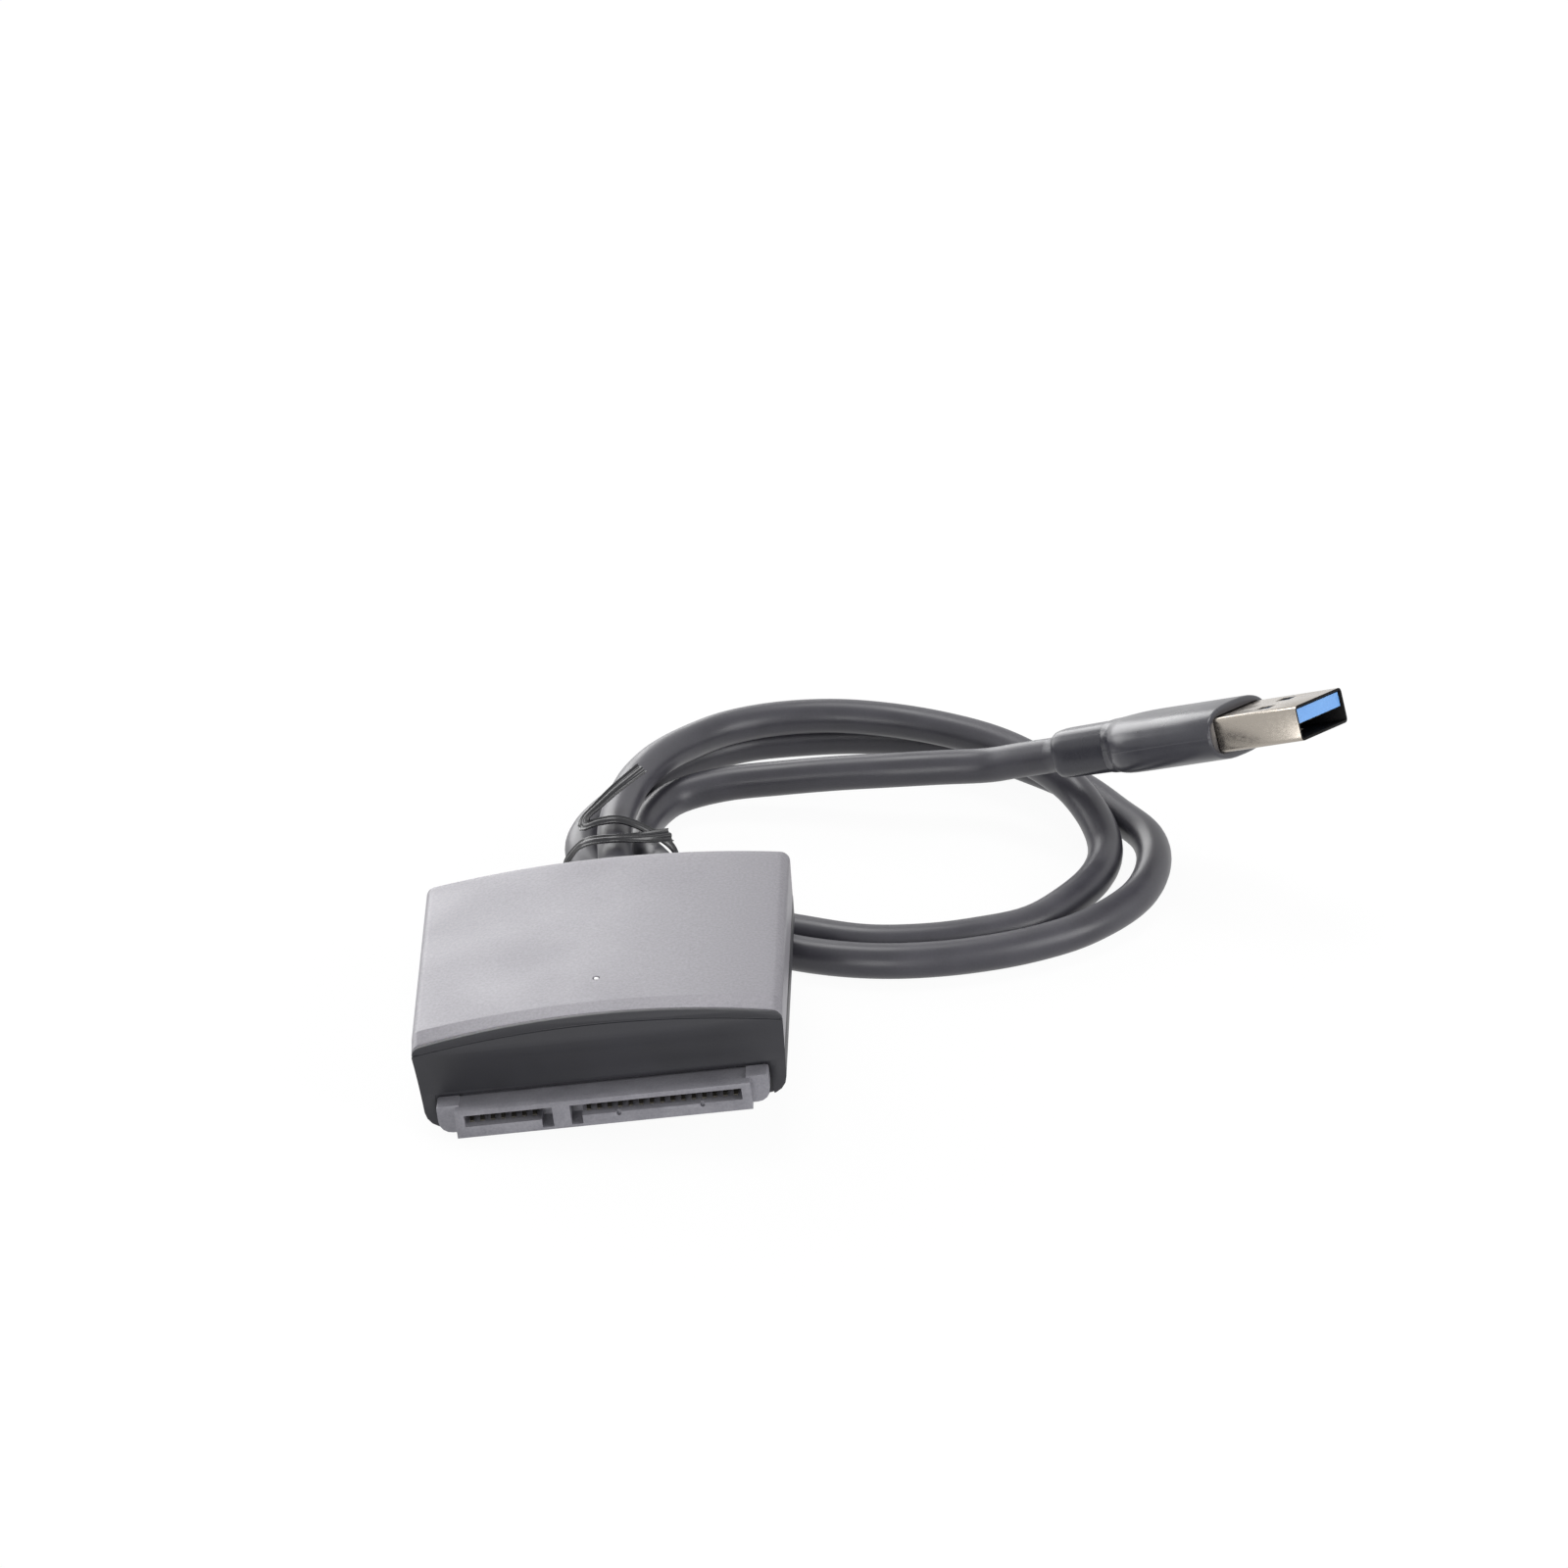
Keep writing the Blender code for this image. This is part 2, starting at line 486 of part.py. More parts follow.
def makeLowerCase():
    """Open tub with the bezel, the receptacle's opening and the notch for the gland."""
    case = addPiece("lower_case", caseLoft("lower_case", 0.0, -LIP_FRONT, CASE_LENGTH), darkPlastic, house)
    aboveSkirt = addCutter("above_skirt", boxMesh("above_skirt",
                           (-CASE_WIDTH, LIP_BACK, COVER_SKIRT_HEIGHT - FIT),
                           (CASE_WIDTH, CASE_LENGTH + 0.002, 3 * CASE_EDGE_HEIGHT)), house)
    combine(case, aboveSkirt, "DIFFERENCE")
    seamEnd = 0.6 * CASE_WIDTH
    seam = [(seamEnd * k / 12, partingHeight(seamEnd * k / 12) - PARTING_GAP / 2) for k in range(-12, 13)]
    seam += [(seamEnd, 3 * CASE_EDGE_HEIGHT), (-seamEnd, 3 * CASE_EDGE_HEIGHT)]
    aboveSeam = addCutter("above_seam", extrudeMesh("above_seam", seam, 0.002 + FIT,
                          frontProfilePlace(LIP_BACK + FIT)), house)
    combine(case, aboveSeam, "DIFFERENCE")
    upper = addCutter("case_upper_wall", caseLoft("case_upper_wall", caseInset, 0.0,
                      CASE_LENGTH - REAR_EDGE_ROUND, lidDomeLoss), house)
    combine(case, upper, "UNION")
    cavity = addCutter("case_cavity", caseLoft("case_cavity", caseInset + CASE_WALL, FRONT_WALL,
                       CASE_LENGTH - REAR_WALL, floor=CASE_FLOOR, lift=CASE_EDGE_HEIGHT), house)
    neckHole = addCutter("receptacle_hole", boxMesh("receptacle_hole",
                         (SATA_X - neckHalf - FIT, -0.002, CASE_FLOOR),
                         (SATA_X + neckHalf + FIT, FRONT_WALL + 0.001, neckTop + FIT)), house)
    recessHalf = shroudHalf + GUIDE_WIDTH + FIT
    recess = addCutter("receptacle_recess", boxMesh("receptacle_recess",
                       (SATA_X - recessHalf, -0.002, -0.001),
                       (SATA_X + recessHalf, 0.0, shroudTop + GUIDE_RISE + FIT)), house)
    chord = BEZEL_HOLLOW_HEIGHT / 2
    bend = (chord ** 2 + BEZEL_HOLLOW_DEPTH ** 2) / (2 * BEZEL_HOLLOW_DEPTH)
    hollowY = BEZEL_HOLLOW_DEPTH - LIP_FRONT - bend
    hollow = addCutter("bezel_hollow", rodMesh("bezel_hollow", bend,
                       (-CASE_WIDTH, hollowY, BEZEL_HOLLOW_CENTRE),
                       (CASE_WIDTH, hollowY, BEZEL_HOLLOW_CENTRE), 96), house)
    notchRadius = GLAND_BODY_RADIUS + FIT
    notch = addCutter("gland_notch", rodMesh("gland_notch", notchRadius,
                      (0, CASE_LENGTH - REAR_WALL - 0.001, GLAND_Z), (0, CASE_LENGTH + 0.002, GLAND_Z)), house)
    notchTop = addCutter("gland_notch_top", boxMesh("gland_notch_top",
                         (-notchRadius, CASE_LENGTH - REAR_WALL - 0.001, GLAND_Z),
                         (notchRadius, CASE_LENGTH + 0.002, 3 * CASE_EDGE_HEIGHT)), house)
    for cutter in (cavity, neckHole, recess, hollow, notch, notchTop):
        combine(case, cutter, "DIFFERENCE")


def pinPlaces():
    """Name and x of each contact, signal pins first."""
    signalMiddle = SATA_X - slotSpan / 2 + (SIGNAL_SLOT_WIDTH - KEY_WIDTH) / 2
    powerMiddle = SATA_X + slotSpan / 2 - (POWER_SLOT_WIDTH - KEY_WIDTH) / 2
    places = []
    for group, count, middle in (("signal", SIGNAL_PINS, signalMiddle), ("power", POWER_PINS, powerMiddle)):
        for k in range(count):
            places.append((f"{group}_contact_{k + 1:02d}", middle + (k - (count - 1) / 2) * SATA_PITCH))
    return places


def makeReceptacle():
    back = -FIT
    front = -SATA_REACH
    body = addPiece("sata_receptacle", boxMesh("sata_receptacle",
                    (SATA_X - shroudHalf, front, shroudBottom), (SATA_X + shroudHalf, back, shroudTop)),
                    greyPlastic, house)
    neck = addCutter("receptacle_neck", boxMesh("receptacle_neck",
                     (SATA_X - neckHalf, back - 0.001, CASE_FLOOR + FIT),
                     (SATA_X + neckHalf, SATA_TAIL, neckTop)), house)
    combine(body, neck, "UNION")
    for side in (-1, 1):
        inner = SATA_X + side * (shroudHalf - 0.0005)
        outer = SATA_X + side * (shroudHalf + GUIDE_WIDTH)
        corners = [(inner, shroudBottom + 0.0002), (outer, shroudBottom + 0.0002),
                   (outer, shroudTop + GUIDE_RISE), (inner, shroudTop + GUIDE_RISE)]
        outline = roundCorners(corners, [0, GUIDE_RADIUS, 0.0003, 0]) if side > 0 else \
            roundCorners(corners[::-1], [0, 0.0003, GUIDE_RADIUS, 0])
        depth = SATA_REACH - GUIDE_SETBACK - FIT
        hand = "right" if side > 0 else "left"
        guide = addCutter(f"guide_{hand}", extrudeMesh(f"guide_{hand}", outline, depth,
                          frontProfilePlace(back)), house)
        combine(body, guide, "UNION")
    left = SATA_X - slotSpan / 2
    signalEnd = left + SIGNAL_SLOT_WIDTH
    powerStart = signalEnd + SLOT_DIVIDER
    keyBottom = shroudBottom + KEY_FLOOR
    slotBack = front + SATA_SLOT_DEPTH
    keyBack = back - 0.0006
    openings = {
        "signal_slot": ((left, front - 0.001, slotFloor), (signalEnd, slotBack, slotTop)),
        "power_slot": ((powerStart, front - 0.001, slotFloor), (left + slotSpan, slotBack, slotTop)),
        "signal_key": ((signalEnd - KEY_WIDTH, front - 0.001, keyBottom), (signalEnd, keyBack, slotTop)),
        "power_key": ((powerStart, front - 0.001, keyBottom), (powerStart + KEY_WIDTH, keyBack, slotTop)),
    }
    for name, (low, high) in openings.items():
        combine(body, addCutter(name, boxMesh(name, low, high), house), "DIFFERENCE")
    notchZ = slotFloor - LIP_NOTCH_DROP
    for hand, across in zip(("left", "right"), LIP_NOTCHES):
        x = SATA_X + across
        notch = addCutter(f"lip_notch_{hand}", rodMesh(f"lip_notch_{hand}", LIP_NOTCH_RADIUS,
                          (x, front - 0.001, notchZ), (x, front + LIP_NOTCH_DEPTH, notchZ), 12), house)
        combine(body, notch, "DIFFERENCE")
    for name, x in pinPlaces():
        half = CONTACT_WIDTH / 2 + PIN_CLEARANCE
        channel = addCutter(f"{name}_channel", boxMesh(f"{name}_channel", (x - half, slotBack - 0.001, slotFloor),
                            (x + half, SATA_TAIL + 0.001,
                             slotFloor + CONTACT_THICKNESS + 2 * PIN_CLEARANCE)), house)
        combine(body, channel, "DIFFERENCE")


def makeContacts():
    """Sprung strips on the slots' lower wall that step up to the board's pads."""
    low = slotFloor + PIN_CLEARANCE
    thick = CONTACT_THICKNESS
    tip = -SATA_REACH + 0.0008
    rise = boardTop + SOLDER_GAP
    stepStart = SATA_TAIL + 0.00005
    stepEnd = boardFront
    end = boardFront + CONTACT_TAIL
    lower = [(tip, low), (tip + 0.0006, low + CONTACT_BUMP), (tip + 0.0012, low),
             (stepStart, low), (stepEnd, rise), (end, rise)]
    upper = [(y, z + thick) for y, z in lower[::-1]]
    for name, x in pinPlaces():
        strip = extrudeMesh(name, lower + upper, CONTACT_WIDTH, sideProfilePlace(x - CONTACT_WIDTH / 2))
        addPiece(name, strip, gold, house)


def makeBoard():
    addPiece("circuit_board", boxMesh("circuit_board", (-boardWidth / 2, boardFront, boardBottom),
             (boardWidth / 2, boardFront + boardLength, boardTop)), boardGreen, house)
    seat = boardTop + SOLDER_GAP
    middleY = boardFront + boardLength / 2

    def component(name, x, y, width, length, height, material):
        addPiece(name, boxMesh(name, (x - width / 2, y - length / 2, seat),
                 (x + width / 2, y + length / 2, seat + height)), material, house)

    component("bridge_chip", CHIP_X, middleY, CHIP_SIZE, CHIP_SIZE, CHIP_HEIGHT, chipBlack)
    component("crystal", CRYSTAL_PLACE[0], middleY + CRYSTAL_PLACE[1], CRYSTAL_WIDTH, CRYSTAL_LENGTH,
              CRYSTAL_HEIGHT, tinned)
    component("power_inductor", INDUCTOR_PLACE[0], middleY + INDUCTOR_PLACE[1], INDUCTOR_SIZE,
              INDUCTOR_SIZE, INDUCTOR_HEIGHT, ferrite)
    component("voltage_regulator", REGULATOR_PLACE[0], middleY + REGULATOR_PLACE[1], REGULATOR_LENGTH,
              REGULATOR_WIDTH, REGULATOR_HEIGHT, chipBlack)
    component("status_led", LED_X, LED_Y, LED_SIZE, LED_SIZE, LED_HEIGHT, clearPlastic)
    for k, (x, y) in enumerate(CAPACITOR_PLACES):
        component(f"capacitor_{k + 1}", x, middleY + y, CAPACITOR_LENGTH, CAPACITOR_WIDTH,
                  CAPACITOR_HEIGHT, ceramicTan)
    pipeTop = domeHeight(LED_X, LED_Y)
    addPiece("light_pipe", rodMesh("light_pipe", LIGHT_PIPE_RADIUS, (LED_X, LED_Y, ledTop + SOLDER_GAP),
             (LED_X, LED_Y, pipeTop), 16), clearPlastic, house)


def makeGland():
    """Turned rubber collar that sits in the rear wall's notch."""
    inside = -REAR_WALL - FIT - GLAND_FLANGE_THICKNESS
    outline = [(0.0, GLAND_NOSE_LENGTH + FIT), (GLAND_TIP_RADIUS, GLAND_NOSE_LENGTH + FIT),
               (GLAND_FLANGE_RADIUS - 0.0003, FIT + 0.0006), (GLAND_FLANGE_RADIUS - 0.0003, FIT),
               (GLAND_BODY_RADIUS, FIT), (GLAND_BODY_RADIUS, -REAR_WALL - FIT),
               (GLAND_FLANGE_RADIUS, -REAR_WALL - FIT), (GLAND_FLANGE_RADIUS, inside), (0.0, inside)]
    mesh = bpy.data.meshes.new("cable_gland")
    mesh.from_pydata([(r, 0.0, z) for r, z in outline], [(i, i + 1) for i in range(len(outline) - 1)], [])
    gland = addPiece("cable_gland", mesh, cableRubber, house)
    turning = gland.modifiers.new("turning", "SCREW")
    turning.steps = turning.render_steps = 28
    turning.use_merge_vertices = True
    turning.merge_threshold = 0.00001
    gland.location = (0.0, CASE_LENGTH, GLAND_Z)
    gland.rotation_euler = (-math.pi / 2, 0.0, 0.0)


def tubeCurve(name, points, radius, material, frame, sides=3):
    """A round wire through points, with filled ends."""
    data = bpy.data.curves.new(name, "CURVE")
    data.dimensions = "3D"
    data.bevel_depth = radius
    data.bevel_resolution = sides
    data.use_fill_caps = True
    line = data.splines.new("POLY")
    line.points.add(len(points) - 1)
    for point, place in zip(line.points, points):
        point.co = (*place, 1.0)
    data.materials.append(material)
    wire = bpy.data.objects.new(name, data)
    partCollection.objects.link(wire)
    wire.parent = frame
    return wire


def smoothRoute(points, perLeg=16):
    """Catmull-Rom curve through the points."""
    p = np.array(points, dtype=float)
    p = np.vstack([2 * p[0] - p[1], p, 2 * p[-1] - p[-2]])
    legs = []
    for a, b, c, d in zip(p, p[1:], p[2:], p[3:]):
        t = np.linspace(0.0, 1.0, perLeg, endpoint=False)[:, None]
        legs.append(0.5 * (2 * b + (c - a) * t + (2 * a - 5 * b + 4 * c - d) * t ** 2
                           + (3 * b - a - 3 * c + d) * t ** 3))
    legs.append(p[-2][None])
    return np.vstack(legs)


def evenly(path, spacing):
    """Points of a dense path at about the given spacing, both ends kept."""
    along = np.concatenate([[0.0], np.cumsum(np.linalg.norm(np.diff(path, axis=0), axis=1))])
    marks = np.linspace(0.0, along[-1], max(2, round(along[-1] / spacing)) + 1)
    return np.stack([np.interp(marks, along, path[:, k]) for k in range(3)], axis=1)


def makeCoreWires():
    """The cable's five cores, fanned from the gland down to pads at the board's rear."""
    start = CASE_LENGTH - REAR_WALL - 2 * FIT - GLAND_FLANGE_THICKNESS
    padY = boardFront + boardLength - 0.0012
    padZ = boardTop + SOLDER_GAP + CORE_WIRE_RADIUS
    names = ("power_core", "ground_core", "data_core", "transmit_core", "receive_core")
    for k, name in enumerate(names):
        spread = k - (len(names) - 1) / 2
        here = (spread * 0.0011, start, GLAND_Z)
        route = [here, (here[0], start - 0.0010, GLAND_Z), (spread * 0.0016, padY + 0.0022, padZ + 0.0014),
                 (spread * 0.0020, padY + 0.0006, padZ), (spread * 0.0020, padY - 0.0006, padZ)]
        tubeCurve(name, evenly(smoothRoute(route), 0.0008), CORE_WIRE_RADIUS, cableRubber, house, 2)


def makeCord():
    route = smoothRoute(np.array(CORD_ROUTE) * 0.001)
    glandTip = house.matrix_basis @ Vector((0.0, CASE_LENGTH + GLAND_NOSE_LENGTH + 2 * FIT, GLAND_Z))
    route = np.vstack([np.array(glandTip)[None], route])
    tubeCurve("usb_cord", evenly(route, CORD_POINT_SPACING), CORD_DIAMETER / 2, cableRubber, None, 3)


def makeTwistTie():
    """Flat ribbon swept along its route, its face turned away from the bundle."""
    path = evenly(smoothRoute(np.array(TIE_ROUTE) * 0.001), 0.0016)
    bundle = np.array((0.0, 0.0, 0.006))
    rings = []
    for i, point in enumerate(path):
        ahead = Vector(path[min(i + 1, len(path) - 1)] - path[max(i - 1, 0)]).normalized()
        away = Vector((point[0] - bundle[0], 0.0, point[2] - bundle[2]))
        across = ahead.cross(away).normalized()
        face = across.cross(ahead).normalized()
        corners = [across * a * TIE_WIDTH / 2 + face * b * TIE_THICKNESS / 2
                   for a, b in ((-1, -1), (1, -1), (1, 1), (-1, 1))]
        rings.append([Vector(point) + corner for corner in corners])
    addPiece("twist_tie", loftMesh("twist_tie", rings), tiePlastic, None)


def ovalRing(x, width, height, power=2.6, count=32):
    """Superellipse section of the grip at a given x."""
    ring = []
    for k in range(count):
        angle = 2 * math.pi * k / count
        c, s = math.cos(angle), math.sin(angle)
        ring.append((x, math.copysign(abs(c) ** (2 / power), c) * width / 2,
                     math.copysign(abs(s) ** (2 / power), s) * height / 2))
    return ring


def roundedSection(x, width, height, radius, steps=3):
    corners = [(-width / 2, -height / 2), (width / 2, -height / 2), (width / 2, height / 2),
               (-width / 2, height / 2)]
    return [(x, p[0], p[1]) for p in roundCorners(corners, [radius] * 4, steps)]


def makePlug():
    plug = bpy.data.objects.new("plug_frame", None)
    partCollection.objects.link(plug)
    plug.location = Vector(CORD_ROUTE[-1]) * 0.001
    turn = Matrix.Rotation(PLUG_YAW, 3, "Z") @ Matrix.Rotation(-PLUG_PITCH, 3, "Y") \
        @ Matrix.Rotation(PLUG_ROLL, 3, "X")
    plug.rotation_euler = turn.to_euler()

    bootStart = 2 * FIT
    bootEnd = bootStart + BOOT_LENGTH
    gripStart = bootEnd + FIT
    gripEnd = gripStart + GRIP_LENGTH
    tip = gripEnd + SHELL_EXPOSED
    shellBack = gripEnd - SHELL_BURIED

    boot = [roundedSection(bootStart, BOOT_WIDTH * 0.80, BOOT_HEIGHT * 0.86, 0.0014),
            roundedSection(bootStart + 0.0006, BOOT_WIDTH * 0.90, BOOT_HEIGHT * 0.95, 0.0014),
            roundedSection(bootStart + 0.0030, BOOT_WIDTH * 0.94, BOOT_HEIGHT * 0.97, 0.0014),
            roundedSection(bootEnd, BOOT_WIDTH, BOOT_HEIGHT, 0.0014)]
    addPiece("plug_boot", loftMesh("plug_boot", boot), gripPlastic, plug)

    stations = [(0.0, 0.62, 0.88), (0.35, 0.74, 0.93), (1.0, 0.90, 0.97), (2.0, 0.98, 0.99), (3.0, 1.0, 1.0)]
    rings = [ovalRing(gripStart + s * GRIP_SHOULDER, GRIP_WIDTH * w, GRIP_HEIGHT * h) for s, w, h in stations]
    rings.append(ovalRing(gripEnd - 0.0005, GRIP_WIDTH, GRIP_HEIGHT))
    rings.append(ovalRing(gripEnd, GRIP_WIDTH - 0.0008, GRIP_HEIGHT - 0.0008))
    grip = addPiece("plug_grip", loftMesh("plug_grip", rings), gripPlastic, plug)
    pocket = addCutter("shell_pocket", loftMesh("shell_pocket", [
        roundedSection(x, SHELL_WIDTH + 2 * FIT, SHELL_HEIGHT + 2 * FIT, SHELL_CORNER)
        for x in (shellBack - FIT, gripEnd + 0.001)]), plug)
    combine(grip, pocket, "DIFFERENCE")

    shell = addPiece("usb_shell", loftMesh("usb_shell", [
        roundedSection(x, SHELL_WIDTH, SHELL_HEIGHT, SHELL_CORNER) for x in (shellBack, tip)]), steel, plug)
    innerWidth = SHELL_WIDTH - 2 * SHELL_WALL
    innerHeight = SHELL_HEIGHT - 2 * SHELL_WALL
    bore = addCutter("shell_bore", loftMesh("shell_bore", [
        roundedSection(x, innerWidth, innerHeight, SHELL_CORNER - SHELL_WALL)
        for x in (shellBack - 0.001, tip + 0.001)]), plug)
    combine(shell, bore, "DIFFERENCE")
    for hand, side in (("left", -1), ("right", 1)):
        x = tip - LATCH_FROM_TIP
        y = side * LATCH_SPACING / 2
        window = addCutter(f"latch_window_{hand}", boxMesh(f"latch_window_{hand}",
                           (x - LATCH_WINDOW / 2, y - LATCH_WINDOW / 2, -SHELL_HEIGHT),
                           (x + LATCH_WINDOW / 2, y + LATCH_WINDOW / 2, SHELL_HEIGHT)), plug)
        combine(shell, window, "DIFFERENCE")

    halfTongue = innerWidth / 2 - PIN_CLEARANCE
    ceiling = innerHeight / 2 - PIN_CLEARANCE
    tongueUnder = ceiling - TONGUE_THICKNESS
    tongue = addPiece("usb_tongue", boxMesh("usb_tongue", (shellBack + FIT, -halfTongue, tongueUnder),
                      (tip - TONGUE_RECESS, halfTongue, ceiling)), blue, plug)
    base = addCutter("tongue_base", boxMesh("tongue_base", (shellBack + FIT, -halfTongue, -ceiling),
                     (shellBack + FIT + TONGUE_BASE, halfTongue, ceiling - 0.0002)), plug)
    combine(tongue, base, "UNION")
    baseFront = shellBack + FIT + TONGUE_BASE

    padTop = tongueUnder - SOLDER_GAP
    padEnd = tip - TONGUE_RECESS - 0.0008
    for k, y in enumerate(USB_PAD_PITCHES):
        name = f"usb_contact_{k + 1}"
        addPiece(name, boxMesh(name, (padEnd - USB_PAD_LENGTH, y - USB_PAD_WIDTH / 2, padTop - USB_PIN_THICKNESS),
                 (padEnd, y + USB_PAD_WIDTH / 2, padTop)), gold, plug)
    speedFront = padEnd - USB_PAD_LENGTH - 0.0005
    for k, y in enumerate(SPEED_PITCHES):
        name = f"superspeed_contact_{k + 1}"
        start = max(baseFront + PIN_CLEARANCE, speedFront - SPEED_PIN_LENGTH)
        addPiece(name, boxMesh(name, (start, y - SPEED_PIN_WIDTH / 2, padTop - 2 * USB_PIN_THICKNESS),
                 (speedFront, y + SPEED_PIN_WIDTH / 2, padTop)), gold, plug)


makeTopCover()
makeCaseLid()
makeLowerCase()
makeReceptacle()
makeContacts()
makeBoard()
makeGland()
makeCoreWires()
makeCord()
makeTwistTie()
makePlug()

for piece in partCollection.objects:
    if piece.type == "MESH":
        piece.data.shade_smooth()
        piece.data.set_sharp_from_angle(angle=math.radians(35))
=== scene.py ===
# Look of the USB to SATA adapter: camera, light, the coiled cable and its tie, the moulded pieces and each finish
import json
import math
import bpy
import bmesh
import numpy as np
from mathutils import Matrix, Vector


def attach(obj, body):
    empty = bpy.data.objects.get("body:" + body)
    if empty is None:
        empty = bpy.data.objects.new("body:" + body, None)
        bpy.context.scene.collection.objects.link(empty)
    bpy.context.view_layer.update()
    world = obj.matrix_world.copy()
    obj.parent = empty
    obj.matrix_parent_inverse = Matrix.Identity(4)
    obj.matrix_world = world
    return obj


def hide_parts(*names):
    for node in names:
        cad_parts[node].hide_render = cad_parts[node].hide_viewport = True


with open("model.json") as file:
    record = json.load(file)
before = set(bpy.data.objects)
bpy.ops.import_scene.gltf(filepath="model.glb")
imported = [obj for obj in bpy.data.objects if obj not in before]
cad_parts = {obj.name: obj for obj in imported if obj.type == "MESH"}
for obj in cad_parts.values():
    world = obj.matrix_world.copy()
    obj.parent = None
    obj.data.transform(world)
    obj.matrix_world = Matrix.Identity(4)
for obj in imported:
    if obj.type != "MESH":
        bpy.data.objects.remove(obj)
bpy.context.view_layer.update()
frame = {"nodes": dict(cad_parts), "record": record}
nodes = frame["nodes"]
print("frame loaded:", len(nodes), "nodes")

# The photograph's camera: a long lens, 27 degrees above the table
view = {"place": (0.03783, -0.8735, 0.48675), "forward": (-0.01623, 0.88886, -0.45789),
        "lens": 187.4, "sensor": 36.0}
camera = bpy.data.objects.new("camera", bpy.data.cameras.new("camera"))
camera.data.lens, camera.data.sensor_width = view["lens"], view["sensor"]
camera.location = view["place"]
camera.rotation_euler = Vector(view["forward"]).to_track_quat("-Z", "Y").to_euler()
bpy.context.scene.collection.objects.link(camera)
bpy.context.scene.camera = camera


def hexToLinear(code):  # an sRGB hex colour as the linear one that sockets take
    parts = [int(code[k:k + 2], 16) / 255 for k in (0, 2, 4)]
    return [v / 12.92 if v <= 0.04045 else ((v + 0.055) / 1.055) ** 2.4 for v in parts] + [1.0]


def addNode(owner, kind, values=None, links=None, **attributes):  # one node with its settings and its links
    node = owner.node_tree.nodes.new(kind)
    for key, value in attributes.items():
        setattr(node, key, value)
    for key, value in (values or {}).items():
        node.inputs[key].default_value = value
    for key, socket in (links or {}).items():
        owner.node_tree.links.new(socket, node.inputs[key])
    return node


def newMaterial(name, look):  # a material in one tone, and its shader
    material = bpy.data.materials.new(name)
    material.use_nodes = True
    shader = material.node_tree.nodes["Principled BSDF"]
    shader.inputs["Base Color"].default_value = hexToLinear(look["dark"])
    for socket in ("Roughness", "Metallic"):
        if socket in look:
            shader.inputs[socket].default_value = look[socket]
    return material, shader


def mouldedFinish(name, look):
    # grain from the mould or the spray in the bump and as flecks, slow cloud in the tone and in the roughness
    material, shader = newMaterial(name, look)
    tree = material.node_tree
    place = addNode(material, "ShaderNodeTexCoord").outputs["Object"]
    grain = addNode(material, "ShaderNodeTexNoise", {"Scale": 1000 / look["grain"], "Detail": 3.0}, {"Vector": place})
    cloud = addNode(material, "ShaderNodeTexNoise", {"Scale": 1000 / look["cloud"], "Detail": 2.0}, {"Vector": place})
    both = addNode(material, "ShaderNodeMix", {0: look["fleck"]}, {2: cloud.outputs["Fac"], 3: grain.outputs["Fac"]})
    tone = addNode(material, "ShaderNodeValToRGB", None, {"Fac": both.outputs[0]})
    for stop, position, key in zip(tone.color_ramp.elements, (0.32, 0.68), ("dark", "light")):
        stop.position, stop.color = position, hexToLinear(look[key])
    rough = addNode(material, "ShaderNodeMapRange", {"From Min": 0.3, "From Max": 0.7,
                    "To Min": look["Roughness"] - 0.05, "To Max": look["Roughness"] + 0.05},
                    {"Value": cloud.outputs["Fac"]})
    bump = addNode(material, "ShaderNodeBump", {"Strength": look["bump"], "Distance": look["depth"] * 0.001},
                   {"Height": grain.outputs["Fac"]})
    tree.links.new(tone.outputs["Color"], shader.inputs["Base Color"])
    tree.links.new(rough.outputs["Result"], shader.inputs["Roughness"])
    tree.links.new(bump.outputs["Normal"], shader.inputs["Normal"])
    return material


rolling = {"scale": (150.0, 3000.0, 3000.0), "bump": 0.10, "depth": 0.000004}


def rolledMetal(name, look):  # plated strip: lines drawn along it, as stretched noise in the roughness and the bump
    material, shader = newMaterial(name, look)
    place = addNode(material, "ShaderNodeTexCoord").outputs["Object"]
    drawn = addNode(material, "ShaderNodeMapping", {"Scale": rolling["scale"]}, {"Vector": place})
    lines = addNode(material, "ShaderNodeTexNoise", {"Scale": 1.0, "Detail": 2.0}, {"Vector": drawn.outputs[0]})
    rough = addNode(material, "ShaderNodeMapRange", {"From Min": 0.3, "From Max": 0.7,
                    "To Min": look["Roughness"] - 0.05, "To Max": look["Roughness"] + 0.07},
                    {"Value": lines.outputs["Fac"]})
    bump = addNode(material, "ShaderNodeBump", {"Strength": rolling["bump"], "Distance": rolling["depth"]},
                   {"Height": lines.outputs["Fac"]})
    material.node_tree.links.new(rough.outputs["Result"], shader.inputs["Roughness"])
    material.node_tree.links.new(bump.outputs["Normal"], shader.inputs["Normal"])
    return material


# grain and cloud are sizes in millimetres, depth is the grain's height; the tone runs from dark to light
# Silver lacquer sprayed on ABS: a satin grey with a fine metallic fleck
silverLacquer = mouldedFinish("silver_lacquer_on_abs", {
    "dark": "7f7d83", "light": "8d8b91", "Roughness": 0.46, "Metallic": 0.15,
    "grain": 0.34, "cloud": 11.0, "fleck": 0.85, "bump": 0.22, "depth": 0.010})
# Black ABS from a spark-eroded mould: matt, with a slow cloud in its tone
blackAbs = mouldedFinish("textured_black_abs", {
    "dark": "1d1d22", "light": "27272d", "Roughness": 0.50,
    "grain": 0.18, "cloud": 8.0, "fleck": 0.35, "bump": 0.30, "depth": 0.018})
